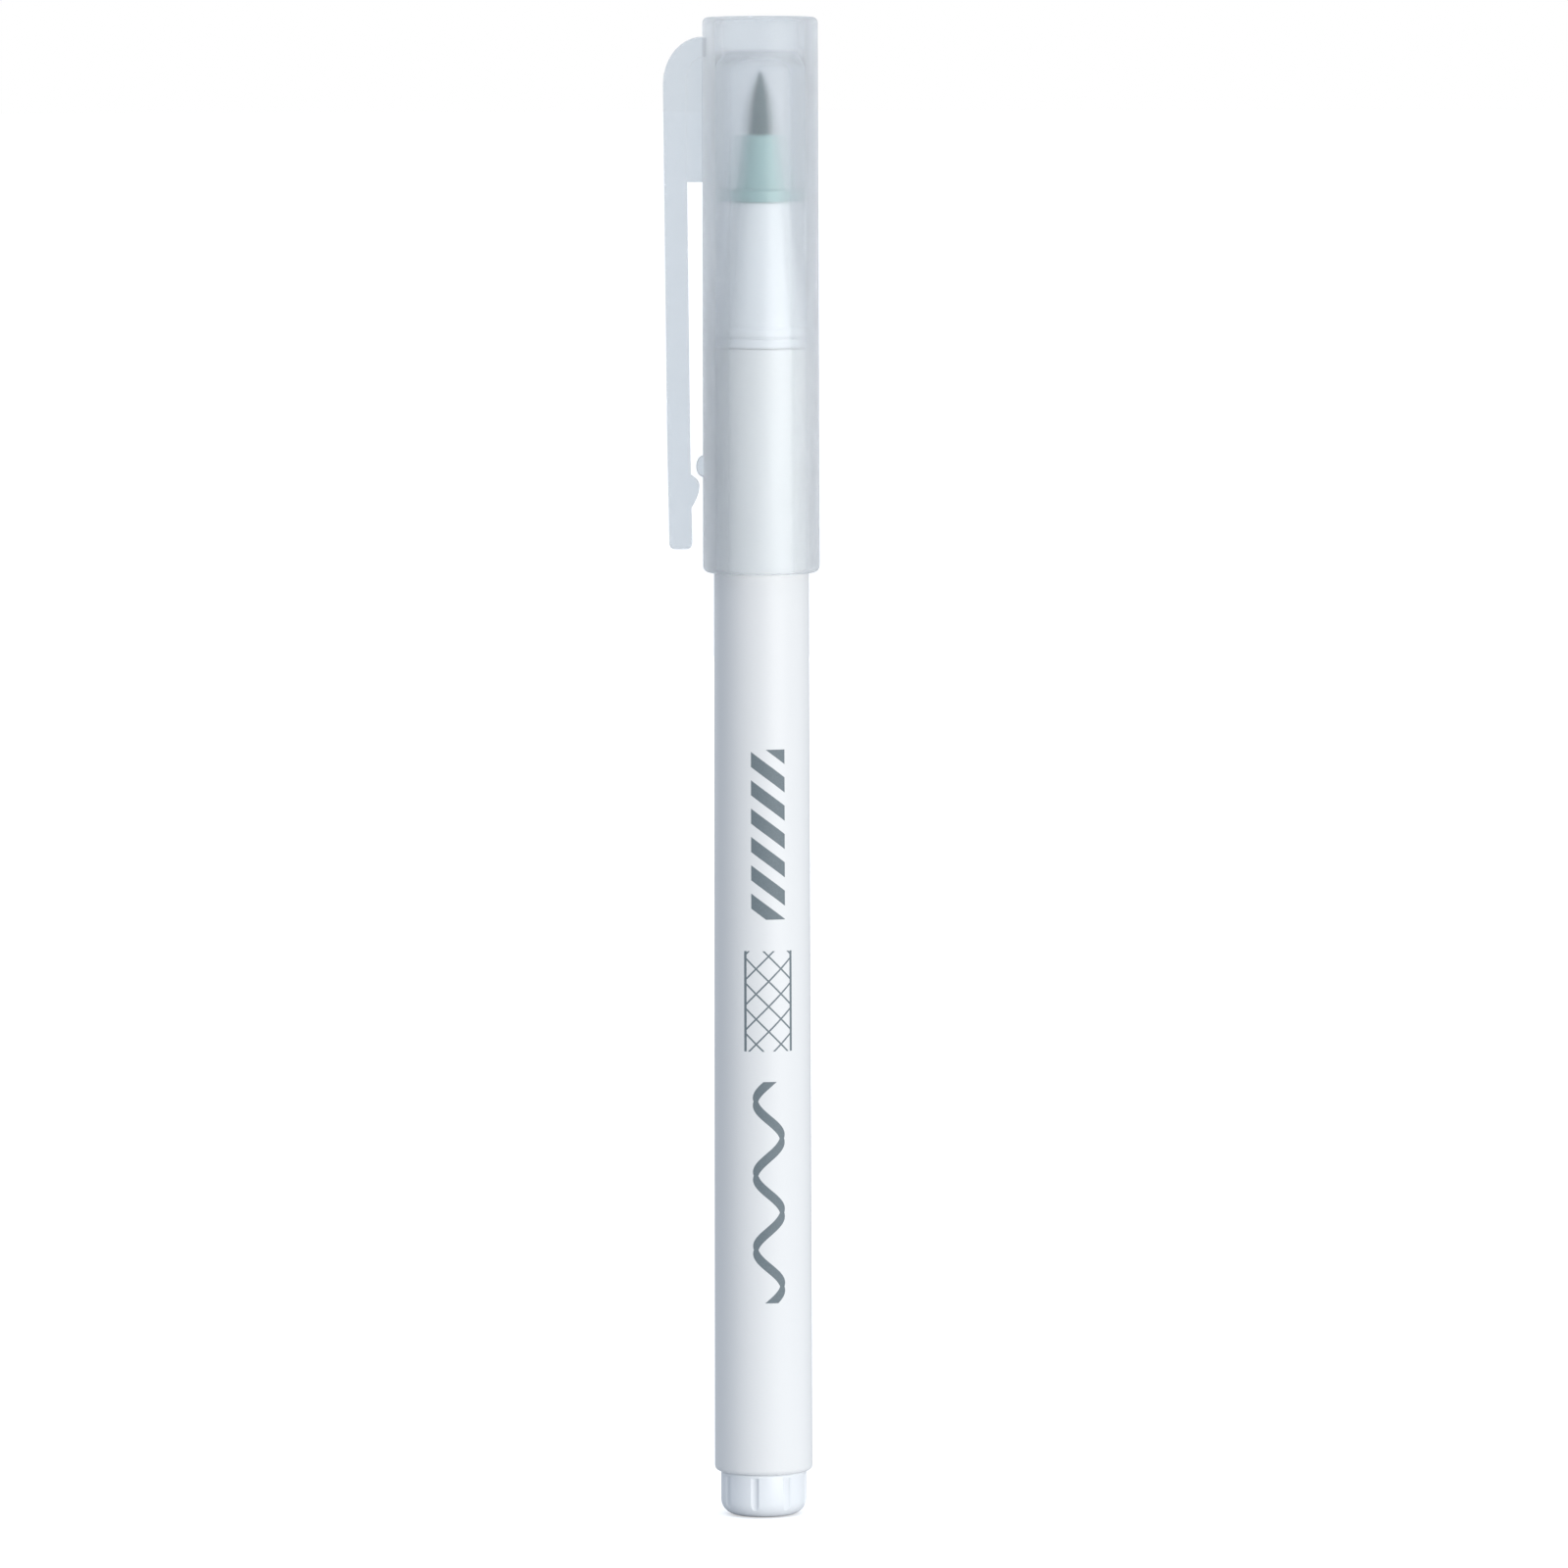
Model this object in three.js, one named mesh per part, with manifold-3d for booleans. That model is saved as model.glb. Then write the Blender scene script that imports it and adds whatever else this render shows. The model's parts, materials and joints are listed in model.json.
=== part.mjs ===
import * as THREE from 'three';
import { mergeVertices } from 'three/addons/utils/BufferGeometryUtils.js';
import Module from 'manifold-3d';

// A capped brush pen for calligraphy, standing upright on the flat end of its rear plug.
// Millimetres. +Z runs from the rear plug to the closed end of the cap, the origin is the
// centre of the plug's flat rear face, and the pocket clip is on the -X side.

// ---- Fits ------------------------------------------------------------------------------
const PRESS_GAP = 0.05; // radial, between two pieces pushed together
const SEAM = 0.05; // end to end, between two pieces that meet on the outside
const SNAP_HEIGHT = 0.12; // how far a snap bead stands out of its spigot
const SNAP_LENGTH = 1.2; // length of a snap bead along the pen
const END_GAP = 0.6; // room left at each end of the ink reservoir
const REST_GAP = 0.3; // room under a piece that is pushed in from the front

// ---- Rear plug -------------------------------------------------------------------------
const PLUG_HEAD_LENGTH = 4.15;
const PLUG_HEAD_RADIUS = 4.075;
const PLUG_CORNER = 1.45; // radius of the rounded rear edge
const PLUG_SPIGOT_LENGTH = 8;
const PLUG_WALL = 0.9;
const PLUG_FLOOR = 3.2; // solid thickness of the head
const FLUTE_COUNT = 8;
const FLUTE_RADIUS = 0.5;
const FLUTE_DEPTH = 0.2;
const FLUTE_LENGTH = 3.85;
const FLUTE_TURN = -12; // degrees from -Y to the first flute

// ---- Barrel ----------------------------------------------------------------------------
const BARREL_LENGTH = 107.5;
const BARREL_FRONT_RADIUS = 4.47;
const BARREL_TAPER = 0.2; // how much wider the rear end is, on the radius
const BARREL_WALL = 0.95; // at the front end, round a straight bore
const BARREL_REAR_CORNER = 0.5;
const BARREL_FRONT_CORNER = 0.15;
const RIB_COUNT = 6;
const RIB_WIDTH = 0.6;
const RIB_HEIGHT = 0.3;

// ---- Nose section ----------------------------------------------------------------------
const NOSE_SPIGOT_LENGTH = 13;
const NOSE_SPIGOT_WALL = 0.9;
const NOSE_COLLAR_LENGTH = 1.95; // two rings that the cap closes over
const NOSE_COLLAR_STEP = 0.22; // collar below the barrel's front radius
const NOSE_RING_GROOVE = 0.2; // width and depth of the groove between the rings
const NOSE_CONE_LENGTH = 11.8;
const NOSE_CONE_STEP = 0.25; // cone's wide end below the collar radius
const NOSE_BULKHEAD = 3; // thickness of the wall that guides the wick

// ---- Nib holder ------------------------------------------------------------------------
const HOLDER_STEM_RADIUS = 2;
const HOLDER_STEM_LENGTH = 14.2;
const HOLDER_FLANGE_THICKNESS = 1.15;
const HOLDER_FLANGE_STEP = 0.55; // flange beyond the wide end of the body
const HOLDER_BODY_LENGTH = 5.2;
const HOLDER_FLARE = 0.62; // wide end of the body beyond its mouth
const HOLDER_LIP = 0.4; // wall round the mouth
const HOLDER_SHOULDER = 0.2; // lip between the flange and the nose's front rim
const VENT_COUNT = 4;
const VENT_WIDTH = 0.6;
const VENT_DEPTH = 0.35;

// ---- Brush tip and ink feed ------------------------------------------------------------
const BRUSH_LENGTH = 6.1;
const BRUSH_RADIUS = 1.175;
const BRUSH_POINT = 0.1; // radius of the rounded point
const BRUSH_BELLY = 0.6; // how far the side bulges out of a straight cone
const BRUSH_SEAT_GAP = 0.1; // round the root in its seat
const WICK_RADIUS = 0.75;
const WICK_GAP = 0.1; // round the wick in its bores
const WICK_INSERT = 11.6; // length of wick inside the reservoir
const FILM_THICKNESS = 0.12;
const RESERVOIR_GAP = 0.08; // between the film and the ribs
const RESERVOIR_BORE_EXTRA = 0.4; // bore beyond the end of the wick

// ---- Cap -------------------------------------------------------------------------------
const CAP_OVERLAP = 21.4; // length of barrel that the cap covers
const CAP_SLIDE_GAP = 0.05; // round the barrel at the cap's rim
const CAP_WALL = 0.99;
const CAP_TAPER = 0.07; // how much narrower the closed end is, on the radius
const CAP_STOP_GAP = 0.3; // from the barrel's front end to the shoulder inside
const CAP_SHOULDER = 0.07; // bore above the shoulder, below the barrel's front radius
const CAP_BORE_TAPER = 0.1;
const CAP_HEADROOM = 1.9; // above the point of the brush
const CAP_END_WALL = 3.1;
const CAP_RIM_CORNER = 0.6;
const CAP_END_CORNER = 0.55;
const CAP_BORE_CORNER = 2.2;

// ---- Pocket clip -----------------------------------------------------------------------
const CLIP_DROP = 1.9; // from the cap's closed end down to the clip's shoulder
const CLIP_SHOULDER_HEIGHT = 4.4;
const CLIP_BRIDGE_THICKNESS = 1.8;
const CLIP_THICKNESS = 2.15;
const CLIP_ROOT_STANDOFF = 1.57; // arm's inner face from the cap, at the shoulder
const CLIP_MID_STANDOFF = 1.2;
const CLIP_TIP_STANDOFF = 1.02;
const CLIP_ROOT_WIDTH = 4;
const CLIP_TIP_WIDTH = 3.2;
const CLIP_TIP_CORNER = 0.5;
const CLIP_ABOVE_RIM = 2.3; // from the cap's rim up to the clip's tip
const CLIP_MID_ABOVE_RIM = 12.7;
const CLIP_FLEX_GAP = 0.3; // cut between the fixed root and the arm that bends
const WEB_LENGTH = 11.9; // stiffening web below the bridge
const WEB_THICKNESS = 1.2;
const GRIP_BUMP_ABOVE_TIP = 5.8; // from the clip's tip up to its bump's peak
const GRIP_BUMP_HEIGHT = 0.8;
const GRIP_BUMP_RISE = 1.1; // length of the bump above its peak
const GRIP_BUMP_RUN = 1.6; // length of the ramp below its peak
const CAP_BUMP_ABOVE_GRIP = 2; // cap's bump above the clip's bump
const CAP_BUMP_HEIGHT = 0.62;
const CAP_BUMP_LENGTH = 2;
const BUMP_WIDTH = 2.2;

// ---- Fineness --------------------------------------------------------------------------
const ROUND_SIDES = 40; // sides of everything that is turned, so that fits nest exactly
const ARC_STEPS = 2; // a quarter round in a profile gets twice as many sides
const CUT_SIDES = 16; // sides of the cylinders that cut the flutes
const PAST = 1; // how far a cutter runs past the surface that it cuts
const MERGE_DISTANCE = 1e-4;

// ---- Places worked out from the sizes --------------------------------------------------
const barrelRearZ = PLUG_HEAD_LENGTH + SEAM;
const barrelFrontZ = barrelRearZ + BARREL_LENGTH;
const barrelRearRadius = BARREL_FRONT_RADIUS + BARREL_TAPER;
const boreRadius = BARREL_FRONT_RADIUS - BARREL_WALL;
const spigotRadius = boreRadius - PRESS_GAP;

const plugFrontZ = barrelRearZ + PLUG_SPIGOT_LENGTH;
const plugSnapZ = barrelRearZ + PLUG_SPIGOT_LENGTH / 2;

const noseRearZ = barrelFrontZ - NOSE_SPIGOT_LENGTH;
const noseSnapZ = barrelFrontZ - NOSE_SPIGOT_LENGTH / 2;
const collarZ = barrelFrontZ + SEAM;
const coneZ = collarZ + NOSE_COLLAR_LENGTH;
const noseFrontZ = coneZ + NOSE_CONE_LENGTH;
const collarRadius = BARREL_FRONT_RADIUS - NOSE_COLLAR_STEP;
const noseBoreRadius = HOLDER_STEM_RADIUS + PRESS_GAP;

const flangeZ = noseFrontZ + SEAM;
const flangeFrontZ = flangeZ + HOLDER_FLANGE_THICKNESS;
const mouthZ = flangeFrontZ + HOLDER_BODY_LENGTH;
const stemRearZ = flangeZ - HOLDER_STEM_LENGTH;
const bulkheadFrontZ = stemRearZ - REST_GAP;
const bulkheadRearZ = bulkheadFrontZ - NOSE_BULKHEAD;
const seatRadius = BRUSH_RADIUS + BRUSH_SEAT_GAP;
const mouthRadius = seatRadius + HOLDER_LIP;
const holderWideRadius = mouthRadius + HOLDER_FLARE;
const flangeRadius = holderWideRadius + HOLDER_FLANGE_STEP;
const noseFrontRadius = flangeRadius - HOLDER_SHOULDER / 2;
const wickBoreRadius = WICK_RADIUS + WICK_GAP;

const pointZ = mouthZ + BRUSH_LENGTH;
const wickFrontZ = mouthZ - BRUSH_RADIUS - REST_GAP;

const reservoirRearZ = plugFrontZ + END_GAP;
const reservoirFrontZ = noseRearZ - END_GAP;
const wickRearZ = reservoirFrontZ - WICK_INSERT;
const ribRadius = boreRadius - RIB_HEIGHT;
const filmRadius = ribRadius - RESERVOIR_GAP;
const coreRadius = filmRadius - FILM_THICKNESS - PRESS_GAP;

const rimZ = barrelFrontZ - CAP_OVERLAP;
const capShoulderZ = barrelFrontZ + CAP_STOP_GAP;
const capCeilingZ = pointZ + CAP_HEADROOM;
const capEndZ = capCeilingZ + CAP_END_WALL;
const barrelRadiusAtRim = BARREL_FRONT_RADIUS + BARREL_TAPER * CAP_OVERLAP / BARREL_LENGTH;
const capBoreRadius = barrelRadiusAtRim + CAP_SLIDE_GAP;
const capRimRadius = capBoreRadius + CAP_WALL;
const capEndRadius = capRimRadius - CAP_TAPER;
const capUpperBoreRadius = BARREL_FRONT_RADIUS - CAP_SHOULDER;
const capCeilingRadius = capUpperBoreRadius - CAP_BORE_TAPER;
const capWallMiddle = (capCeilingRadius + capEndRadius) / 2;

const clipTopZ = capEndZ - CLIP_DROP;
const clipArmTopZ = clipTopZ - CLIP_SHOULDER_HEIGHT;
const bridgeUnderZ = clipTopZ - CLIP_BRIDGE_THICKNESS;
const webRearZ = bridgeUnderZ - WEB_LENGTH;
const armTopZ = webRearZ - CLIP_FLEX_GAP;
const clipMidZ = rimZ + CLIP_MID_ABOVE_RIM;
const clipTipZ = rimZ + CLIP_ABOVE_RIM;
const gripPeakZ = clipTipZ + GRIP_BUMP_ABOVE_TIP;
const capBumpZ = gripPeakZ + CAP_BUMP_ABOVE_GRIP;
const rootInnerX = -(capEndRadius + CLIP_ROOT_STANDOFF);
const midInnerX = -(capRimRadius + CLIP_MID_STANDOFF);
const tipInnerX = -(capRimRadius + CLIP_TIP_STANDOFF);

// ---- Materials -------------------------------------------------------------------------
const frostedPlastic = new THREE.MeshStandardMaterial({
  color: 0xcdd4da, roughness: 0.42, metalness: 0, transparent: true, opacity: 0.5,
});
const whitePlastic = new THREE.MeshStandardMaterial({ color: 0xf1f4f6, roughness: 0.35, metalness: 0 });
const plugPlastic = new THREE.MeshStandardMaterial({ color: 0xf3f6f8, roughness: 0.38, metalness: 0 });
const nosePlastic = new THREE.MeshStandardMaterial({ color: 0xeff2f4, roughness: 0.4, metalness: 0 });
const mintPlastic = new THREE.MeshStandardMaterial({ color: 0x8fc4bf, roughness: 0.4, metalness: 0 });
const brushFibre = new THREE.MeshStandardMaterial({ color: 0x5d7474, roughness: 0.85, metalness: 0 });
const wickFibre = new THREE.MeshStandardMaterial({ color: 0x4c5656, roughness: 0.9, metalness: 0 });
const coreFibre = new THREE.MeshStandardMaterial({ color: 0x3b4344, roughness: 0.95, metalness: 0 });
const clearFilm = new THREE.MeshStandardMaterial({
  color: 0xe6ebee, roughness: 0.15, metalness: 0, transparent: true, opacity: 0.4,
});

// ---- Making and joining solids ---------------------------------------------------------
const wasm = await Module();
wasm.setup();

// Turns a profile, drawn with radius as X and height as Y, round the pen's axis.
function turned(profile) {
  const points = profile.getPoints(ARC_STEPS);
  return new THREE.LatheGeometry(points, ROUND_SIDES).rotateX(Math.PI / 2);
}

// Extrudes a side view, drawn in X and Z, evenly to both sides of the plane y = 0.
function sideSlab(outline, width) {
  const slab = new THREE.ExtrudeGeometry(outline, {
    depth: width, bevelEnabled: false, curveSegments: ARC_STEPS * 2,
  });
  return slab.translate(0, 0, -width / 2).rotateX(Math.PI / 2);
}

// A closed mesh with its shared vertices merged, as a body that can be joined and cut.
function solid(geometry) {
  const bare = geometry.clone();
  bare.deleteAttribute('normal');
  bare.deleteAttribute('uv');
  const merged = mergeVertices(bare, MERGE_DISTANCE);
  return new wasm.Manifold(new wasm.Mesh({
    numProp: 3,
    vertProperties: merged.attributes.position.array,
    triVerts: Uint32Array.from(merged.index.array),
  }));
}

function geometryOf(body) {
  const { vertProperties, triVerts } = body.getMesh();
  const geometry = new THREE.BufferGeometry();
  geometry.setAttribute('position', new THREE.BufferAttribute(vertProperties, 3));
  geometry.setIndex(new THREE.BufferAttribute(triVerts, 1));
  geometry.computeVertexNormals();
  return geometry;
}

function mesh(name, geometry, material) {
  const piece = new THREE.Mesh(geometry, material);
  piece.name = name;
  return piece;
}

// A snap bead standing out of a spigot, or the groove for it, going along +Z.
function addSnap(path, radius, centreZ, height, length) {
  path.lineTo(radius, centreZ - length / 2);
  path.lineTo(radius + height, centreZ - length / 6);
  path.lineTo(radius + height, centreZ + length / 6);
  path.lineTo(radius, centreZ + length / 2);
}

// ---- The pieces ------------------------------------------------------------------------
function makeEndPlug() {
  const path = new THREE.Path();
  path.moveTo(0, 0);
  path.lineTo(PLUG_HEAD_RADIUS - PLUG_CORNER, 0);
  path.absarc(PLUG_HEAD_RADIUS - PLUG_CORNER, PLUG_CORNER, PLUG_CORNER, -Math.PI / 2, 0);
  path.lineTo(PLUG_HEAD_RADIUS, PLUG_HEAD_LENGTH);
  path.lineTo(spigotRadius, PLUG_HEAD_LENGTH);
  addSnap(path, spigotRadius, plugSnapZ, SNAP_HEIGHT, SNAP_LENGTH);
  path.lineTo(spigotRadius, plugFrontZ - PLUG_WALL / 2);
  path.lineTo(spigotRadius - PLUG_WALL / 2, plugFrontZ);
  path.lineTo(spigotRadius - PLUG_WALL, plugFrontZ);
  path.lineTo(spigotRadius - PLUG_WALL, PLUG_FLOOR);
  path.lineTo(0, PLUG_FLOOR);
  let plug = solid(turned(path));
  for (let i = 0; i < FLUTE_COUNT; i += 1) {
    const turn = THREE.MathUtils.degToRad(FLUTE_TURN) + i * 2 * Math.PI / FLUTE_COUNT;
    const reach = PLUG_HEAD_RADIUS + FLUTE_RADIUS - FLUTE_DEPTH;
    const flute = new THREE.CylinderGeometry(
      FLUTE_RADIUS, FLUTE_RADIUS, FLUTE_LENGTH + PAST, CUT_SIDES,
    );
    flute.rotateX(Math.PI / 2);
    flute.translate(0, -reach, (FLUTE_LENGTH - PAST) / 2);
    flute.rotateZ(turn);
    plug = plug.subtract(solid(flute));
  }
  return mesh('end_plug', geometryOf(plug), plugPlastic);
}

function makeBarrel() {
  const grooveLength = SNAP_LENGTH + PRESS_GAP;
  const path = new THREE.Path();
  path.moveTo(boreRadius, barrelRearZ);
  path.lineTo(barrelRearRadius - BARREL_REAR_CORNER, barrelRearZ);
  path.absarc(
    barrelRearRadius - BARREL_REAR_CORNER, barrelRearZ + BARREL_REAR_CORNER,
    BARREL_REAR_CORNER, -Math.PI / 2, 0,
  );
  path.lineTo(BARREL_FRONT_RADIUS, barrelFrontZ - BARREL_FRONT_CORNER);
  path.lineTo(BARREL_FRONT_RADIUS - BARREL_FRONT_CORNER, barrelFrontZ);
  path.lineTo(boreRadius, barrelFrontZ);
  for (const snapZ of [noseSnapZ, plugSnapZ]) {
    path.lineTo(boreRadius, snapZ + grooveLength / 2);
    path.lineTo(boreRadius + SNAP_HEIGHT, snapZ + grooveLength / 6);
    path.lineTo(boreRadius + SNAP_HEIGHT, snapZ - grooveLength / 6);
    path.lineTo(boreRadius, snapZ - grooveLength / 2);
  }
  path.lineTo(boreRadius, barrelRearZ);
  let barrel = solid(turned(path));
  const ribLength = reservoirFrontZ - reservoirRearZ;
  const ribDepth = RIB_HEIGHT + BARREL_WALL / 2;
  for (let i = 0; i < RIB_COUNT; i += 1) {
    const rib = new THREE.BoxGeometry(ribDepth, RIB_WIDTH, ribLength);
    rib.translate(ribRadius + ribDepth / 2, 0, reservoirRearZ + ribLength / 2);
    rib.rotateZ(i * 2 * Math.PI / RIB_COUNT);
    barrel = barrel.add(solid(rib));
  }
  return mesh('barrel', geometryOf(barrel), whitePlastic);
}

function makeReservoirCore() {
  const boreEndZ = wickRearZ - RESERVOIR_BORE_EXTRA;
  const path = new THREE.Path();
  path.moveTo(0, reservoirRearZ);
  path.lineTo(coreRadius, reservoirRearZ);
  path.lineTo(coreRadius, reservoirFrontZ);
  path.lineTo(wickBoreRadius, reservoirFrontZ);
  path.lineTo(wickBoreRadius, boreEndZ);
  path.lineTo(0, boreEndZ);
  return mesh('reservoir_core', turned(path), coreFibre);
}

function makeReservoirFilm() {
  const inner = filmRadius - FILM_THICKNESS;
  const path = new THREE.Path();
  path.moveTo(inner, reservoirRearZ);
  path.lineTo(filmRadius, reservoirRearZ);
  path.lineTo(filmRadius, reservoirFrontZ);
  path.lineTo(inner, reservoirFrontZ);
  path.lineTo(inner, reservoirRearZ);
  return mesh('reservoir_film', turned(path), clearFilm);
}

function makeNoseSection() {
  const ringLength = (NOSE_COLLAR_LENGTH - NOSE_RING_GROOVE) / 2;
  const coneRearRadius = collarRadius - NOSE_CONE_STEP;
  const hollowRadius = spigotRadius - NOSE_SPIGOT_WALL;
  const path = new THREE.Path();
  path.moveTo(hollowRadius, noseRearZ);
  path.lineTo(spigotRadius, noseRearZ);
  addSnap(path, spigotRadius, noseSnapZ, SNAP_HEIGHT, SNAP_LENGTH);
  path.lineTo(spigotRadius, collarZ);
  path.lineTo(collarRadius, collarZ);
  path.lineTo(collarRadius, collarZ + ringLength);
  path.lineTo(collarRadius - NOSE_RING_GROOVE, collarZ + ringLength);
  path.lineTo(collarRadius - NOSE_RING_GROOVE, coneZ - ringLength);
  path.lineTo(collarRadius, coneZ - ringLength);
  path.lineTo(collarRadius, coneZ - NOSE_CONE_STEP);
  path.lineTo(coneRearRadius, coneZ);
  path.lineTo(noseFrontRadius, noseFrontZ);
  path.lineTo(noseBoreRadius, noseFrontZ);
  path.lineTo(noseBoreRadius, bulkheadFrontZ);
  path.lineTo(wickBoreRadius, bulkheadFrontZ);
  path.lineTo(wickBoreRadius, bulkheadRearZ);
  path.lineTo(hollowRadius, bulkheadRearZ);
  path.lineTo(hollowRadius, noseRearZ);
  return mesh('nose_section', turned(path), nosePlastic);
}

function makeNibHolder() {
  const seatRearZ = mouthZ - Math.sqrt(seatRadius ** 2 - wickBoreRadius ** 2);
  const seatEnd = Math.atan2(seatRearZ - mouthZ, wickBoreRadius);
  const path = new THREE.Path();
  path.moveTo(wickBoreRadius, stemRearZ);
  path.lineTo(HOLDER_STEM_RADIUS, stemRearZ);
  path.lineTo(HOLDER_STEM_RADIUS, flangeZ);
  path.lineTo(flangeRadius, flangeZ);
  path.lineTo(flangeRadius, flangeFrontZ - HOLDER_SHOULDER);
  path.lineTo(flangeRadius - HOLDER_SHOULDER, flangeFrontZ);
  path.lineTo(holderWideRadius, flangeFrontZ);
  path.lineTo(mouthRadius, mouthZ - HOLDER_LIP / 2);
  path.lineTo(mouthRadius - HOLDER_LIP / 2, mouthZ);
  path.lineTo(seatRadius, mouthZ);
  path.absarc(0, mouthZ, seatRadius, 0, seatEnd, true);
  path.lineTo(wickBoreRadius, stemRearZ);
  let holder = solid(turned(path));
  const ventLength = HOLDER_STEM_LENGTH - REST_GAP;
  for (let i = 0; i < VENT_COUNT; i += 1) {
    const vent = new THREE.BoxGeometry(VENT_DEPTH + PAST, VENT_WIDTH, ventLength);
    vent.translate(
      HOLDER_STEM_RADIUS - VENT_DEPTH + (VENT_DEPTH + PAST) / 2, 0,
      flangeZ - REST_GAP - ventLength / 2,
    );
    vent.rotateZ(i * 2 * Math.PI / VENT_COUNT);
    holder = holder.subtract(solid(vent));
  }
  return mesh('nib_holder', geometryOf(holder), mintPlastic);
}

// The root is a ball round the mouth's centre, so the tip can lean without leaving its seat.
function makeBrushTip() {
  const path = new THREE.Path();
  path.moveTo(0, mouthZ - BRUSH_RADIUS);
  path.absarc(0, mouthZ, BRUSH_RADIUS, -Math.PI / 2, 0);
  path.quadraticCurveTo(
    BRUSH_RADIUS / 2 + BRUSH_BELLY, mouthZ + BRUSH_LENGTH / 2, BRUSH_POINT, pointZ - BRUSH_POINT,
  );
  path.absarc(0, pointZ - BRUSH_POINT, BRUSH_POINT, 0, Math.PI / 2);
  return mesh('brush_tip', turned(path), brushFibre);
}

function makeFeedWick() {
  const path = new THREE.Path();
  path.moveTo(0, wickRearZ);
  path.lineTo(WICK_RADIUS, wickRearZ);
  path.lineTo(WICK_RADIUS, wickFrontZ);
  path.lineTo(0, wickFrontZ);
  return mesh('feed_wick', turned(path), wickFibre);
}

function capWall() {
  const path = new THREE.Path();
  path.moveTo(capBoreRadius, rimZ);
  path.lineTo(capRimRadius - CAP_RIM_CORNER, rimZ);
  path.absarc(
    capRimRadius - CAP_RIM_CORNER, rimZ + CAP_RIM_CORNER, CAP_RIM_CORNER, -Math.PI / 2, 0,
  );
  path.lineTo(capEndRadius, capEndZ - CAP_END_CORNER);
  path.absarc(
    capEndRadius - CAP_END_CORNER, capEndZ - CAP_END_CORNER, CAP_END_CORNER, 0, Math.PI / 2,
  );
  path.lineTo(0, capEndZ);
  path.lineTo(0, capCeilingZ);
  path.lineTo(capCeilingRadius - CAP_BORE_CORNER, capCeilingZ);
  path.absarc(
    capCeilingRadius - CAP_BORE_CORNER, capCeilingZ - CAP_BORE_CORNER, CAP_BORE_CORNER,
    Math.PI / 2, 0, true,
  );
  path.lineTo(capUpperBoreRadius, capShoulderZ);
  path.lineTo(capBoreRadius, capShoulderZ);
  path.lineTo(capBoreRadius, rimZ);
  return solid(turned(path));
}

// Distance of the arm's inner face from the axis at a height, along its two straight runs.
function armInnerX(z) {
  if (z > clipMidZ) {
    const share = (z - clipMidZ) / (clipArmTopZ - clipMidZ);
    return THREE.MathUtils.lerp(midInnerX, rootInnerX, share);
  }
  return THREE.MathUtils.lerp(tipInnerX, midInnerX, (z - clipTipZ) / (clipMidZ - clipTipZ));
}

// Bridge over the cap's shoulder and the fixed top of the arm, down to the flex cut.
function clipRoot() {
  const outerTop = rootInnerX - CLIP_THICKNESS;
  const bridgeX = -capEndRadius;
  const outline = new THREE.Shape();
  outline.moveTo(-capWallMiddle, bridgeUnderZ);
  outline.lineTo(-capWallMiddle, clipTopZ);
  outline.lineTo(bridgeX, clipTopZ);
  outline.absellipse(
    bridgeX, clipArmTopZ, bridgeX - outerTop, CLIP_SHOULDER_HEIGHT, Math.PI / 2, Math.PI,
  );
  outline.lineTo(armInnerX(webRearZ) - CLIP_THICKNESS, webRearZ);
  outline.lineTo(armInnerX(webRearZ), webRearZ);
  outline.lineTo(rootInnerX, clipArmTopZ);
  outline.absellipse(
    bridgeX, clipArmTopZ, bridgeX - rootInnerX, bridgeUnderZ - clipArmTopZ,
    Math.PI, Math.PI / 2, true,
  );
  outline.lineTo(-capWallMiddle, bridgeUnderZ);
  return solid(sideSlab(outline, CLIP_ROOT_WIDTH));
}

function clipWeb() {
  const outline = new THREE.Shape();
  outline.moveTo(-capWallMiddle, webRearZ);
  outline.lineTo(-capWallMiddle, clipTopZ - CLIP_BRIDGE_THICKNESS / 2);
  outline.lineTo(-capEndRadius, clipTopZ - CLIP_BRIDGE_THICKNESS / 2);
  outline.lineTo(rootInnerX - CLIP_THICKNESS / 2, clipArmTopZ);
  outline.lineTo(armInnerX(webRearZ) - CLIP_THICKNESS / 2, webRearZ);
  return solid(sideSlab(outline, WEB_THICKNESS));
}

function capBump() {
  const outline = new THREE.Shape();
  outline.moveTo(-capWallMiddle, capBumpZ - CAP_BUMP_LENGTH / 2);
  outline.lineTo(-capWallMiddle, capBumpZ + CAP_BUMP_LENGTH / 2);
  outline.lineTo(-capRimRadius, capBumpZ + CAP_BUMP_LENGTH / 2);
  outline.absellipse(
    -capRimRadius, capBumpZ, CAP_BUMP_HEIGHT, CAP_BUMP_LENGTH / 2, Math.PI / 2, 3 * Math.PI / 2,
  );
  return solid(sideSlab(outline, BUMP_WIDTH));
}

function makeCapShell() {
  const shell = capWall().add(clipRoot()).add(clipWeb()).add(capBump());
  return mesh('cap_shell', geometryOf(shell), frostedPlastic);
}

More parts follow.
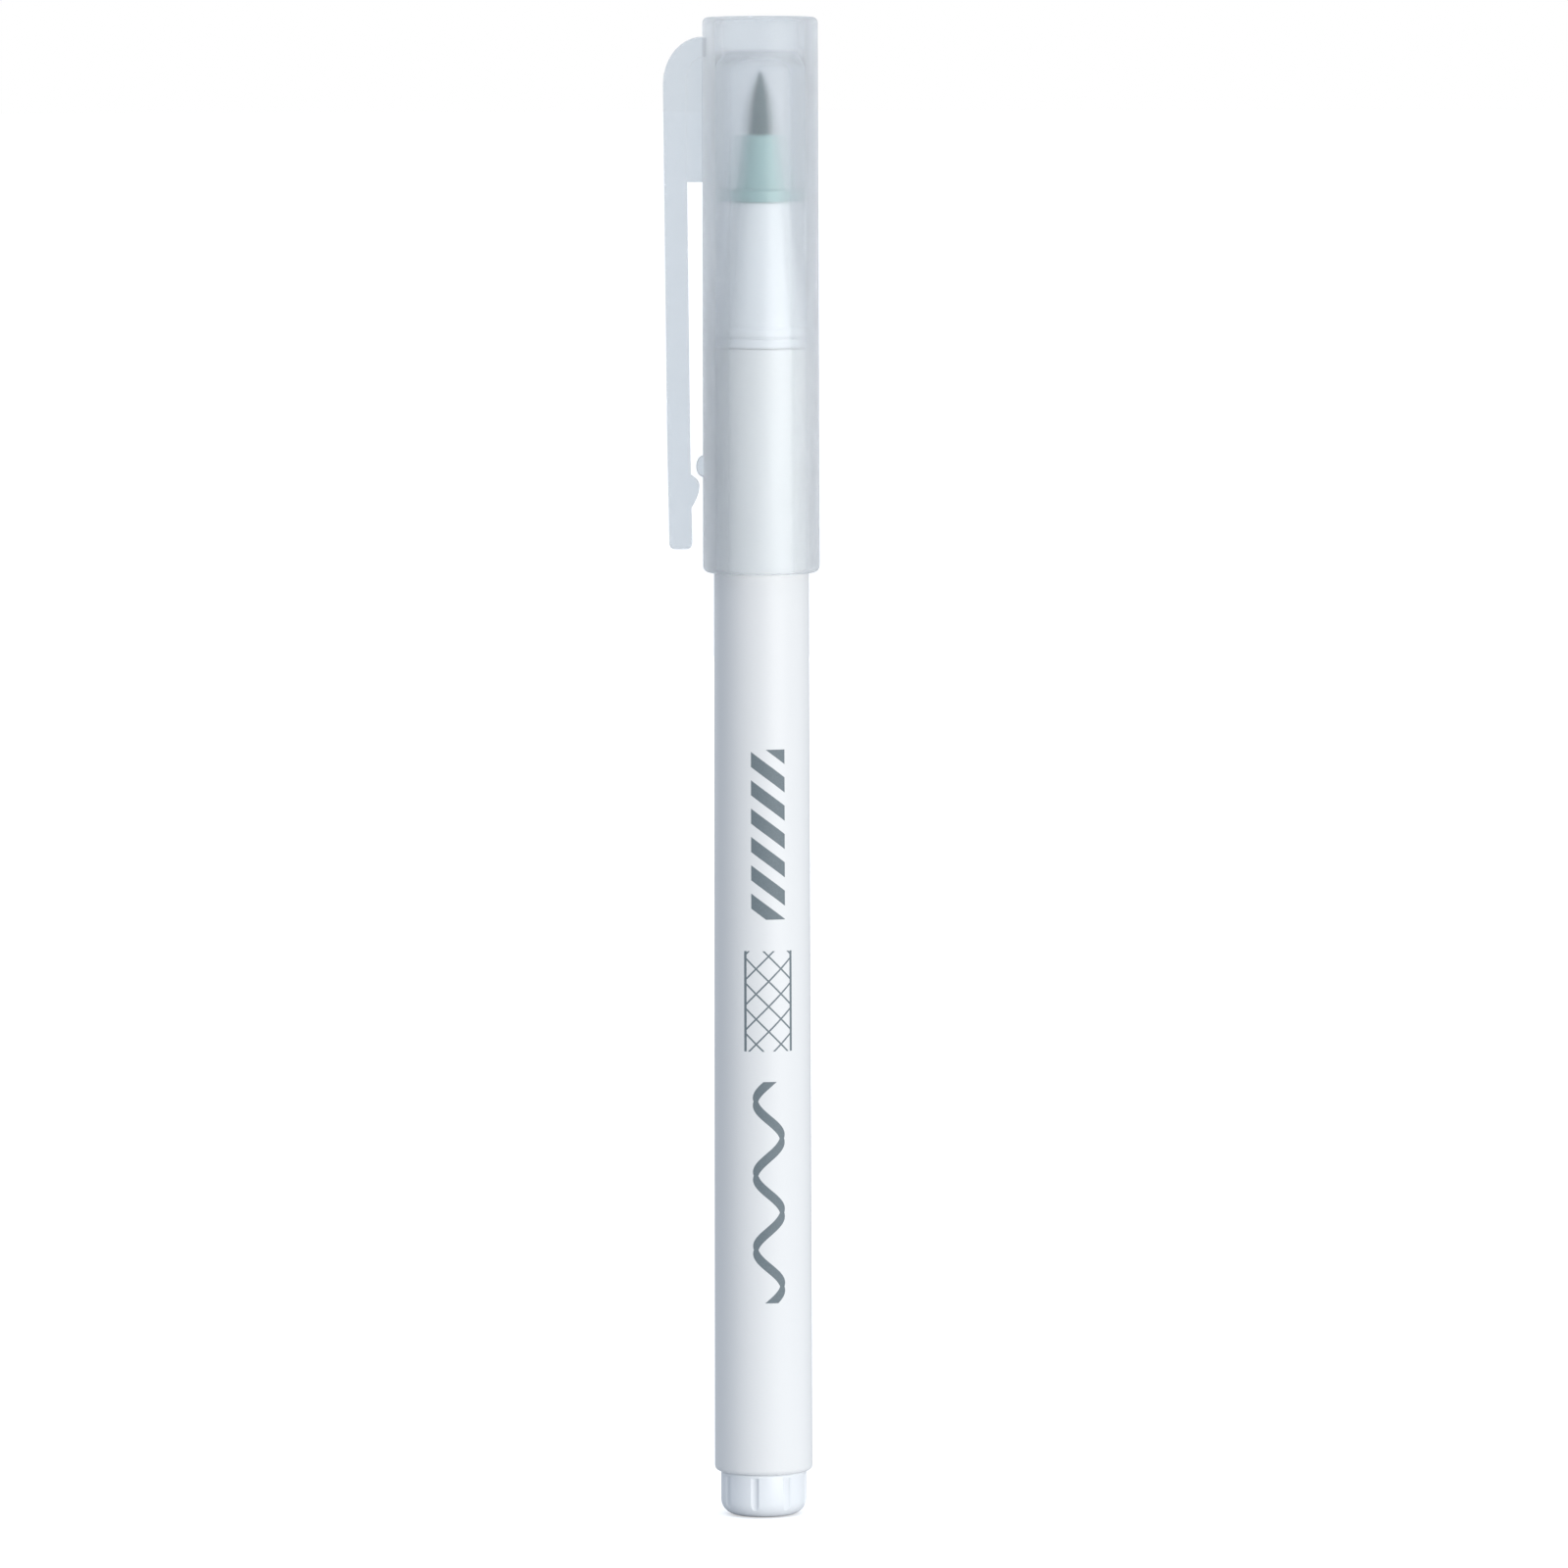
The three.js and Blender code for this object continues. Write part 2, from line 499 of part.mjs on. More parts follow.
// Side view of the arm, with the bump that grips a pocket's cloth near its tip.
function armSideView() {
  const outline = new THREE.Shape();
  const outerTipX = tipInnerX - CLIP_THICKNESS;
  outline.moveTo(armInnerX(armTopZ) - CLIP_THICKNESS, armTopZ);
  outline.lineTo(midInnerX - CLIP_THICKNESS, clipMidZ);
  outline.lineTo(outerTipX, clipTipZ + CLIP_TIP_CORNER);
  outline.absarc(
    outerTipX + CLIP_TIP_CORNER, clipTipZ + CLIP_TIP_CORNER, CLIP_TIP_CORNER,
    Math.PI, 3 * Math.PI / 2,
  );
  outline.lineTo(tipInnerX - CLIP_TIP_CORNER, clipTipZ);
  outline.absarc(
    tipInnerX - CLIP_TIP_CORNER, clipTipZ + CLIP_TIP_CORNER, CLIP_TIP_CORNER,
    3 * Math.PI / 2, 2 * Math.PI,
  );
  outline.lineTo(armInnerX(gripPeakZ - GRIP_BUMP_RUN), gripPeakZ - GRIP_BUMP_RUN);
  outline.lineTo(armInnerX(gripPeakZ) + GRIP_BUMP_HEIGHT, gripPeakZ);
  outline.absellipse(
    armInnerX(gripPeakZ), gripPeakZ, GRIP_BUMP_HEIGHT, GRIP_BUMP_RISE, 0, Math.PI / 2,
  );
  outline.lineTo(midInnerX, clipMidZ);
  outline.lineTo(armInnerX(armTopZ), armTopZ);
  return outline;
}

// View of the arm from outside: it narrows towards a tip with rounded corners.
function armFrontView() {
  const share = (clipTopZ - armTopZ) / (clipTopZ - clipTipZ);
  const topHalf = THREE.MathUtils.lerp(CLIP_ROOT_WIDTH, CLIP_TIP_WIDTH, share) / 2;
  const tipHalf = CLIP_TIP_WIDTH / 2;
  const corner = tipHalf / 2;
  const outline = new THREE.Shape();
  outline.moveTo(-CLIP_ROOT_WIDTH / 2, armTopZ + PAST);
  outline.lineTo(-topHalf, armTopZ);
  outline.lineTo(-tipHalf, clipTipZ + corner);
  outline.absarc(-tipHalf + corner, clipTipZ + corner, corner, Math.PI, 3 * Math.PI / 2);
  outline.absarc(tipHalf - corner, clipTipZ + corner, corner, 3 * Math.PI / 2, 2 * Math.PI);
  outline.lineTo(topHalf, armTopZ);
  outline.lineTo(CLIP_ROOT_WIDTH / 2, armTopZ + PAST);
  return outline;
}

function makePocketClip() {
  const slab = solid(sideSlab(armSideView(), CLIP_ROOT_WIDTH));
  const reach = -tipInnerX + CLIP_THICKNESS + PAST;
  const front = new THREE.ExtrudeGeometry(armFrontView(), {
    depth: reach, bevelEnabled: false, curveSegments: ARC_STEPS * 2,
  });
  front.rotateX(Math.PI / 2);
  front.rotateZ(-Math.PI / 2);
  const arm = slab.intersect(solid(front));
  return mesh('pocket_clip', geometryOf(arm), frostedPlastic);
}

// ---- The pen ---------------------------------------------------------------------------
const pen = new THREE.Group();
pen.add(makeEndPlug());
pen.add(makeBarrel());
pen.add(makeReservoirCore());
pen.add(makeReservoirFilm());
pen.add(makeFeedWick());
pen.add(makeNoseSection());
pen.add(makeNibHolder());
pen.add(makeBrushTip());

const cap = new THREE.Group();
cap.add(makeCapShell());
cap.add(makePocketClip());
pen.add(cap);

export default pen;
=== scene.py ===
"""Looks of a capped brush pen: frosted cap with a pocket clip, printed white barrel, fluted plug,
and under the cap the white nose, the mint nib holder and the fibre brush."""

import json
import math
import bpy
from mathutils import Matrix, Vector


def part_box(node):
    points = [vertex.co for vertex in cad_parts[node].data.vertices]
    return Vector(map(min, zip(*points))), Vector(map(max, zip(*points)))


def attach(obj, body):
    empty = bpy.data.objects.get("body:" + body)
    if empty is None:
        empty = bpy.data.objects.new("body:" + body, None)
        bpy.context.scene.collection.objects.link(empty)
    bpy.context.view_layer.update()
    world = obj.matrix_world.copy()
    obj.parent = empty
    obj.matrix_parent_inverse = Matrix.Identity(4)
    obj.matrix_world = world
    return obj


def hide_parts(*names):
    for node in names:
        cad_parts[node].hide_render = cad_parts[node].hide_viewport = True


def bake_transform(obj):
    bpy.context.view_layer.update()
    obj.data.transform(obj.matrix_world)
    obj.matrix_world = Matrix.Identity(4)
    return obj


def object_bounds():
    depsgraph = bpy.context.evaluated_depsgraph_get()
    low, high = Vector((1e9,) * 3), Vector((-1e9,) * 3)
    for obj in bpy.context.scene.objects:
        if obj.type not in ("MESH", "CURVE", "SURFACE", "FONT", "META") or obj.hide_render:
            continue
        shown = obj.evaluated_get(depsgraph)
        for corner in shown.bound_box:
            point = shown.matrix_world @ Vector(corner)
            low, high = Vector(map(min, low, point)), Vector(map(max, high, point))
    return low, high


bl_info = {
    "name": "Brush Pen",
    "version": (1, 0, 0),
    "blender": (4, 5, 0),
    "location": "View3D > Sidebar > Brush Pen",
    "description": "Builds the visible pieces, finishes and studio of a capped brush pen",
    "category": "Add Mesh",
}

import bpy
from mathutils import Vector

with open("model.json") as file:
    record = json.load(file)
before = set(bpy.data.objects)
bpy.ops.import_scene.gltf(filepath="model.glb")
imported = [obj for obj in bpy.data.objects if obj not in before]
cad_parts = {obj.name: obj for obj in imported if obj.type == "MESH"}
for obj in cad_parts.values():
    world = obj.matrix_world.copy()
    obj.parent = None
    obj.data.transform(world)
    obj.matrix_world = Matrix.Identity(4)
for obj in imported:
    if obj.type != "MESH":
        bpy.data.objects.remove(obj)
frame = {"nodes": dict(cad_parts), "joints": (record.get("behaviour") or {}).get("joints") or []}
cad_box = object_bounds()

MM = 0.001
ROUND_SIDES = 144  # sides of the barrel, plug, nose and cap
FINE_SIDES = 72  # sides of the nib holder; the brush has twice as many
CUTTER_SIDES = 64  # sides of each flute's cutter
BUMP_SIDES = 48  # sides of the cap's bump
SMOOTH_ANGLE = math.radians(35)  # a sharper edge stays sharp
PLAY = 0.05 * MM  # gap between parts that are pressed together or stand on each other
SPIGOT_WALL = 0.9 * MM  # wall of the plug and the nose inside the barrel
OVERLAP = 0.8 * MM  # how far the clip's root and web reach into the cap's wall
SURROUND_TONE = (0.41, 0.46, 0.53)  # what the pen's surfaces see around them
BACKLIT_TONE = (0.61, 0.68, 0.75)  # what glows behind the frosted plastic

BARREL_LOW, BARREL_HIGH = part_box("barrel")
CAP_LOW, CAP_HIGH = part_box("cap_shell")
CLIP_LOW, CLIP_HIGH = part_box("pocket_clip")
NOSE_LOW, NOSE_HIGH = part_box("nose_section")
HOLDER_LOW, HOLDER_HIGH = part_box("nib_holder")
TIP_LOW, TIP_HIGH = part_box("brush_tip")
PLUG_LOW, PLUG_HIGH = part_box("end_plug")
MOUTH_Z = HOLDER_HIGH.z
CLIP_HINGE = next(j for j in frame["joints"] if j["name"] == "clip_flex")["pos_m"]


# ---- Sizes and colours that a user would change ------------------------------------------


def length(name, description, default):
    """A length in metres, shown in the scene's unit."""
    return bpy.props.FloatProperty(
        name=name, description=description, default=default, min=0.0, unit="LENGTH", precision=5
    )


def colour(name, description, default):
    """A colour as linear red, green and blue."""
    return bpy.props.FloatVectorProperty(
        name=name, description=description, default=default, subtype="COLOR", size=3, min=0, max=1
    )


class BarrelSizes(bpy.types.PropertyGroup):
    rear_radius: length("Rear Radius", "Radius at the rear end", BARREL_HIGH.x)
    taper: length("Taper", "How much narrower the front end is, on the radius", 0.2 * MM)
    bore: length("Bore", "Radius of the straight bore", 3.52 * MM)
    rear_corner: length("Rear Corner", "Rounding of the rear edge", 0.5 * MM)
    front_corner: length("Front Corner", "Rounding of the front edge", 0.18 * MM)


class PlugSizes(bpy.types.PropertyGroup):
    corner: length("Corner", "Rounding of the rear edge", 1.45 * MM)
    spigot_radius: length("Spigot Radius", "Radius inside the barrel", 3.47 * MM)
    floor: length("Floor", "Thickness of the closed rear end", 3.2 * MM)
    flute_radius: length("Flute Radius", "Radius of the cutter of each flute", 0.5 * MM)
    flute_depth: length("Flute Depth", "Depth of each flute", 0.2 * MM)
    flute_length: length("Flute Length", "Height of the flutes above the rear face", 3.85 * MM)
    flute_count: bpy.props.IntProperty(
        name="Flutes", description="Number of flutes round the plug", default=8, min=3
    )
    flute_turn: bpy.props.FloatProperty(
        name="Flute Turn", description="Angle from the front to the first flute",
        default=math.radians(-12), subtype="ANGLE",
    )


class CapSizes(bpy.types.PropertyGroup):
    wall: length("Wall", "Thickness of the side wall at the rim", 0.99 * MM)
    taper: length("Taper", "How much narrower the closed end is, on the radius", 0.07 * MM)
    end_wall: length("End Wall", "Thickness of the closed end", 3.1 * MM)
    rim_corner: length("Rim Corner", "Rounding of the outer edge of the rim", 0.62 * MM)
    end_corner: length("End Corner", "Rounding of the edge of the closed end", 0.55 * MM)
    bore_corner: length("Bore Corner", "Rounding of the bore at the closed end", 2.2 * MM)
    stop_height: length("Stop Height", "From the rim up to the shoulder in the bore", 21.7 * MM)
    upper_bore: length("Upper Bore", "Radius of the bore just above the shoulder", 4.4 * MM)
    bore_taper: length("Bore Taper", "How much the upper bore narrows", 0.1 * MM)


class ClipSizes(bpy.types.PropertyGroup):
    thickness: length("Thickness", "Thickness of the arm", 2.15 * MM)
    root_width: length("Root Width", "Width of the clip at the cap", 4.0 * MM)
    tip_width: length("Tip Width", "Width of the clip at its tip", 3.2 * MM)
    drop: length("Drop", "From the cap's closed end down to the clip's shoulder", 1.9 * MM)
    shoulder_height: length("Shoulder Height", "Height of the rounded shoulder", 4.4 * MM)
    bridge: length("Bridge", "Thickness of the bridge where it leaves the cap", 1.8 * MM)
    standoff: length("Stand-off", "From the cap to the arm below the shoulder", 1.57 * MM)
    web_width: length("Web Width", "Thickness of the web below the bridge", 1.2 * MM)
    edge: length("Edge", "Rounding of the long edges", 0.28 * MM)
    arm_bend: length("Arm Bend", "From the cap's rim up to the arm's change of slope", 12.7 * MM)
    bend_gap: length("Bend Gap", "From the cap to the arm at its change of slope", 1.27 * MM)
    tip_gap: length("Tip Gap", "From the cap to the arm at its tip", 1.09 * MM)
    bump: length("Bump", "Height of the bump that grips a pocket", 0.8 * MM)
    bump_place: length("Bump Place", "From the tip up to the bump's peak", 5.8 * MM)
    tip_corner: length("Tip Corner", "Rounding of the tip's two corners", 0.5 * MM)


class NibSizes(bpy.types.PropertyGroup):
    nose_step: length("Nose Step", "Cone below the collar, on the radius", 0.25 * MM)
    nose_front: length("Nose Front", "Radius of the nose at the holder", 2.745 * MM)
    collar_length: length("Collar", "Length of the two rings", 1.95 * MM)
    stem_radius: length("Stem Radius", "Radius of the holder inside the nose", 2.0 * MM)
    holder_wide: length("Holder Wide End", "Radius above the flange", 2.295 * MM)
    holder_mouth: length("Holder Mouth", "Radius at the mouth", 1.675 * MM)
    flange: length("Flange", "Thickness of the holder's flange", 1.15 * MM)
    brush_radius: length("Brush Radius", "Radius of the brush at the holder", 1.175 * MM)
    wick_bore: length("Wick Bore", "Radius of the bore round the wick", 0.85 * MM)


class Colours(bpy.types.PropertyGroup):
    frosted: colour("Frosted", "Frosted cap and clip", (0.925, 0.93, 0.94))
    barrel: colour("Barrel", "White of the barrel", (0.905, 0.91, 0.905))
    printing: colour("Printing", "Grey of the printed ornament", (0.19, 0.23, 0.25))
    plug: colour("Plug", "White of the rear plug", (0.92, 0.945, 0.965))
    nose: colour("Nose", "White of the nose", (0.92, 0.935, 0.95))
    holder: colour("Holder", "Mint of the nib holder", (0.33, 0.53, 0.52))
    brush: colour("Brush", "Fibres of the brush", (0.055, 0.11, 0.12))
    wick: colour("Wick", "Fibres of the wick", (0.07, 0.09, 0.09))
    reservoir: colour("Reservoir", "Fibres of the reservoir", (0.04, 0.055, 0.06))
    film: colour("Film", "Clear wrap of the reservoir", (0.75, 0.8, 0.84))
    floor: colour("Floor", "Studio floor", (0.9, 0.9, 0.9))


# ---- Modelling helpers -------------------------------------------------------------------


def deselect_all():
    """Leaves nothing selected, so that an operator acts only on what comes next."""
    for item in bpy.context.selected_objects:
        item.select_set(False)


def activate(piece):
    """Makes the piece the only selected object and the active one."""
    deselect_all()
    piece.select_set(True)
    bpy.context.view_layer.objects.active = piece


class EditMode:
    """Edit mode on one piece, left again at the end of the with block."""

    def __init__(self, piece, kind="VERT"):
        self.piece = piece
        self.kind = kind

    def __enter__(self):
        activate(self.piece)
        bpy.ops.object.mode_set(mode="EDIT")
        bpy.ops.mesh.select_mode(type=self.kind)

    def __exit__(self, *_):
        bpy.ops.object.mode_set(mode="OBJECT")


def settle(piece, name):
    """Names the piece and puts its place into its mesh, so its object sits at the origin."""
    activate(piece)
    piece.name = name
    piece.data.name = name
    bpy.ops.object.transform_apply(location=True, rotation=True, scale=True)
    return piece


def smooth(piece):
    """Shades the piece smooth, apart from its sharp edges."""
    activate(piece)
    bpy.ops.object.shade_smooth_by_angle(angle=SMOOTH_ANGLE)


def apply_modifier(piece, kind, **settings):
    """Adds one modifier with these settings and applies it."""
    activate(piece)
    modifier = piece.modifiers.new(kind.title(), kind)
    for key, value in settings.items():
        setattr(modifier, key, value)
    bpy.ops.object.modifier_apply(modifier=modifier.name)


def arc(centre, radii, start, end, steps=6):
    """Points on a quarter round or any other stretch of an ellipse, angles in degrees."""
    points = []
    for step in range(steps + 1):
        angle = math.radians(start + (end - start) * step / steps)
        points.append(
            (centre[0] + radii[0] * math.cos(angle), centre[1] + radii[1] * math.sin(angle))
        )
    return points


def turned(name, profile, sides=ROUND_SIDES, hollow=False):
    """A closed body round the pen's axis from (radius, height) points.

    A solid one starts and ends with a flat disc. A hollow one is a ring whose last point is
    bridged to its first."""
    deselect_all()
    radius, height = profile[0]
    bpy.ops.mesh.primitive_circle_add(
        vertices=sides, radius=radius, location=(0, 0, height),
        fill_type="NOTHING" if hollow else "NGON",
    )
    piece = bpy.context.object
    with EditMode(piece):
        bpy.ops.mesh.select_all(action="SELECT")
        for next_radius, next_height in profile[1:]:
            bpy.ops.mesh.extrude_region_move(
                TRANSFORM_OT_translate={"value": (0, 0, next_height - height)}
            )
            scale = next_radius / radius
            bpy.ops.transform.resize(value=(scale, scale, 1), center_override=(0, 0, next_height))
            radius, height = next_radius, next_height
        if hollow:
            bpy.ops.mesh.select_all(action="DESELECT")
            bpy.ops.mesh.select_non_manifold()
            bpy.ops.mesh.bridge_edge_loops()
        bpy.ops.mesh.select_all(action="SELECT")
        bpy.ops.mesh.normals_make_consistent(inside=False)
    return settle(piece, name)


def cut(piece, cutter):
    """Takes the cutter's shape out of the piece and deletes the cutter."""
    apply_modifier(piece, "BOOLEAN", operation="DIFFERENCE", object=cutter, solver="EXACT")
    bpy.data.objects.remove(cutter)


def join(piece, other):
    """Joins the other solid to the piece as one skin and deletes it."""
    apply_modifier(piece, "BOOLEAN", operation="UNION", object=other, solver="EXACT")
    bpy.data.objects.remove(other)


def block(low, high):
    """A plain box between two corners, to cut or join with."""
    deselect_all()
    low, high = Vector(low), Vector(high)
    bpy.ops.mesh.primitive_cube_add(size=1, location=(low + high) / 2, scale=high - low)
    return settle(bpy.context.object, "block")


def place(piece, body, node, material):
    """Gives the piece its finish and its body, and hides the solid that it stands for."""
    piece.data.materials.clear()
    piece.data.materials.append(material)
    if body:
        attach(piece, body)
    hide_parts(node)


# ---- Shader helpers ----------------------------------------------------------------------


class Value:
    """A node's output; arithmetic on one that carries a number adds Math nodes."""

    def __init__(self, shader, socket):
        self.shader = shader
        self.socket = socket

    def maths(self, operation, *others):
        """A Math node on this value and the others."""
        return self.shader.node("ShaderNodeMath", {"operation": operation}, [self, *others])

    def __add__(self, other):
        return self.maths("ADD", other)

    __radd__ = __add__

    def __sub__(self, other):
        return self.maths("SUBTRACT", other)

    def __rsub__(self, other):
        return self.shader.node("ShaderNodeMath", {"operation": "SUBTRACT"}, [other, self])

    def __mul__(self, other):
        return self.maths("MULTIPLY", other)

    __rmul__ = __mul__

    def __lt__(self, other):
        return self.maths("LESS_THAN", other)

    def __gt__(self, other):
        return self.maths("GREATER_THAN", other)

    def __abs__(self):
        return self.maths("ABSOLUTE")

    def __mod__(self, other):
        return self.maths("FLOORED_MODULO", other)


class Shader:
    """One material or world and its nodes."""

    def __init__(self, name, kind="materials", output="ShaderNodeOutputMaterial"):
        self.material = getattr(bpy.data, kind).new(name)
        self.material.use_nodes = True
        self.tree = self.material.node_tree
        self.tree.nodes.clear()
        self.output = self.tree.nodes.new(output)

    def node(self, kind, settings=None, inputs=(), output=0):
        """Adds a node: its settings first, then values, colours or links for its sockets."""
        made = self.tree.nodes.new(kind)
        for key, value in (settings or {}).items():
            setattr(made, key, value)
        pairs = inputs.items() if isinstance(inputs, dict) else enumerate(inputs)
        for key, value in pairs:
            socket = made.inputs[key]
            if isinstance(value, Value):
                self.tree.links.new(value.socket, socket)
            else:
                socket.default_value = (*value, 1) if socket.type == "RGBA" else value
        return Value(self, made.outputs[output])

    def position(self):
        """The point's place, in metres."""
        return self.node("ShaderNodeTexCoord", output="Object")

    def axes(self):
        """X, Y and Z of the point, in metres."""
        split = self.node("ShaderNodeSeparateXYZ", inputs=[self.position()])
        outputs = split.socket.node.outputs
        return [Value(self, outputs[i]) for i in range(3)]

    def noise(self, scale, stretch=(1, 1, 1), detail=3.0, roughness=0.5):
        """Cloudy noise between 0 and 1; scale counts features per metre."""
        spot = self.node(
            "ShaderNodeMapping", inputs={"Vector": self.position(), "Scale": stretch}
        )
        return self.node(
            "ShaderNodeTexNoise",
            inputs={"Vector": spot, "Scale": scale, "Detail": detail, "Roughness": roughness},
        )

    def mix(self, factor, first, second):
        """Colour between the first, at factor 0, and the second, at 1."""
        factor_in, first_in, second_in, colour_out = 0, 6, 7, 2  # by number: names repeat
        return self.node(
            "ShaderNodeMix", {"data_type": "RGBA"},
            {factor_in: factor, first_in: first, second_in: second}, colour_out,
        )

    def bump(self, height, distance):
        """A normal raised where the height is 1, by up to the distance."""
        return self.node("ShaderNodeBump", inputs={"Height": height, "Distance": distance})

    def ray(self, kind):
        """1 for rays of this kind, 0 for the others."""
        return self.node("ShaderNodeLightPath", output=f"Is {kind} Ray")

    def coloured(self, kind, tone, **inputs):
        """A shader node that has a Color socket."""
        return self.node(kind, inputs={"Color": tone, **inputs})

    def principled(self, **inputs):
        """A Principled shader; an underscore in a socket's name stands for a space."""
        named = {key.replace("_", " "): value for key, value in inputs.items()}
        return self.node("ShaderNodeBsdfPrincipled", inputs=named)

    def choose(self, factor, first, second):
        """The first shader at factor 0, the second at 1."""
        return self.node("ShaderNodeMixShader", inputs=[factor, first, second])

    def finish(self, surface):
        """Links the surface to the output, and returns the material or world."""
        self.tree.links.new(surface.socket, self.output.inputs["Surface"])
        return self.material


def shade_of(tone, factor):
    """The tone made lighter or darker."""
    return tuple(min(channel * factor, 1.0) for channel in tone)


# ---- Finishes ----------------------------------------------------------------------------


def frosted_plastic(tone):
    """Milky polypropylene: rough glass, whiter where it is seen edge on, with a fine frost."""
    if "frosted_plastic" in bpy.data.materials:
        return bpy.data.materials["frosted_plastic"]
    shader = Shader("frosted_plastic")
    cloud = shader.noise(260, (1, 1, 0.35), 4.0)
    frost = shader.noise(9000, detail=2.0)
    rough = 0.245 + cloud * 0.02 + frost * 0.02
    normal = shader.bump(frost, 0.004 * MM)
    shared = {"IOR": 1.49, "Specular_Tint": (0.4, 0.4, 0.4), "Normal": normal}
    glass = shader.principled(
        Base_Color=shader.mix(cloud, shade_of(tone, 0.97), shade_of(tone, 1.03)),
        Roughness=rough, Transmission_Weight=0.94, **shared,
    )
    milky = shader.principled(
        Base_Color=shade_of(tone, 1.05), Roughness=rough + 0.2, Transmission_Weight=0.4, **shared,
    )
    edge = shader.node(
        "ShaderNodeLayerWeight", inputs={"Blend": 0.5, "Normal": normal}, output="Facing"
    )
    least_veil, see_through = 0.2, 0.3
    veiled = shader.choose(edge * edge * (1 - least_veil) + least_veil, glass, milky)
    through = shader.coloured("ShaderNodeBsdfTransparent", (0.94, 0.945, 0.95))
    seen = shader.choose(see_through, veiled, through)
    shadow = shader.coloured("ShaderNodeBsdfTransparent", (0.68, 0.70, 0.71))
    return shader.finish(shader.choose(shader.ray("Shadow"), seen, shadow))


def moulded_plastic(name, tone, roughness):
    """Opaque moulded plastic with a faint orange peel and a slightly uneven gloss."""
    peel = 0.006 * MM
    shader = Shader(name)
    cloud = shader.noise(150, (1, 1, 0.4), 3.0)
    grain = shader.noise(2600, detail=2.0)
    base = shader.mix(cloud, shade_of(tone, 0.975), shade_of(tone, 1.02))
    normal = shader.bump(grain, peel)
    surface = shader.principled(
        Base_Color=base, Roughness=roughness - 0.05 + cloud * 0.1, IOR=1.5,
        Specular_IOR_Level=0.35, Normal=normal,
    )
    return shader.finish(surface)


def brush_fibre(tone):
    """Fine ink-soaked fibres that run along the brush."""
    shader = Shader("brush_fibre")
    strand = shader.noise(5200, (1, 1, 0.03), 3.0, 0.6)
    streak = shader.noise(1700, (1, 1, 0.12), 2.0)
    base = shader.mix(strand * 0.7 + streak * 0.3, shade_of(tone, 0.45), shade_of(tone, 1.9))
    surface = shader.principled(
        Base_Color=base, Roughness=0.62 + strand * 0.25,
        Normal=shader.bump(strand, 0.03 * MM),
    )
    return shader.finish(surface)


def bonded_fibre(name, tone):
    """Bonded felt of the wick and the reservoir."""
    shader = Shader(name)
    felt = shader.noise(3000, (1, 1, 0.1), 4.0)
    base = shader.mix(felt, shade_of(tone, 0.6), shade_of(tone, 1.4))
    return shader.finish(
        shader.principled(Base_Color=base, Roughness=0.8 + felt * 0.2,
                          Normal=shader.bump(felt, 0.05 * MM))
    )


def clear_film(tone):
    """Thin clear wrap with faint creases."""
    shader = Shader("clear_film")
    crease = shader.noise(420, (1, 1, 0.3), 3.0)
    return shader.finish(
        shader.principled(
            Base_Color=shader.mix(crease, shade_of(tone, 0.9), tone),
            Roughness=0.12 + crease * 0.1, Alpha=0.35 + crease * 0.1,
            Normal=shader.bump(crease, 0.04 * MM),
        )
    )


def stroke(across, half_width):
    """1 inside a printed stroke, 0 outside."""
    return abs(across) < half_width


def printed_ornament(shader, radius):
    """Mask of the ornament printed along the barrel's front, with its sizes in millimetres:
    slanted nib strokes, a light lattice and a flowing swash that swells and thins."""
    x, y, z = shader.axes()
    offset = 0.6  # how far round from the front its middle line is
    around = x.maths("ARCTAN2", 0 - y) * (radius / MM) - offset
    along = z * (1 / MM)

    def band(low, high):
        return (along > low) * (along < high)

    pitch, lean, thick, reach = 2.7, 0.75, 0.72, 1.65
    slant = (along + around * lean) % pitch - pitch / 2
    nibs = stroke(slant, thick) * stroke(around, reach) * band(57.5, 73.7)

    pitch, thin, border, reach = 2.4, 0.11, 0.12, 2.25
    rising = (along + around) % pitch - pitch / 2
    falling = (along - around) % pitch - pitch / 2
    lattice = stroke(rising, thin).maths("MAXIMUM", stroke(falling, thin))
    borders = stroke(abs(around) - reach, border)
    panel = (lattice * stroke(around, reach)).maths("MAXIMUM", borders) * band(44.9, 54.5)

    start, wavelength, height, thin, thicker = 20.6, 7.1, 1.25, 0.22, 0.42
    phase = (along - start) * (2 * math.pi / wavelength)
    half_width = thin + abs(phase.maths("COSINE")) * thicker
    swash = stroke(around - phase.maths("SINE") * height, half_width) * band(20.8, 42.0)
    return nibs.maths("MAXIMUM", panel).maths("MAXIMUM", swash)


def barrel_plastic(tone, ink, radius):
    """White satin plastic with the printed ornament."""
    shader = Shader("barrel_plastic")
    cloud = shader.noise(140, (1, 1, 0.25), 3.0)
    grain = shader.noise(2400, (1, 1, 0.7), 2.0)
    printed = printed_ornament(shader, radius)
    plain = shader.mix(cloud, shade_of(tone, 0.985), shade_of(tone, 1.015))
    speck = shader.noise(6000, detail=1.0)
    inked = shader.mix(speck, shade_of(ink, 0.9), shade_of(ink, 1.15))
    base = shader.mix(printed, plain, inked)
    surface = shader.principled(
        Base_Color=base, Roughness=0.38 + cloud * 0.08 + printed * 0.1, IOR=1.5,
        Specular_IOR_Level=0.3,
        Normal=shader.bump(grain + printed * 1.5, 0.005 * MM),
    )
    return shader.finish(surface)


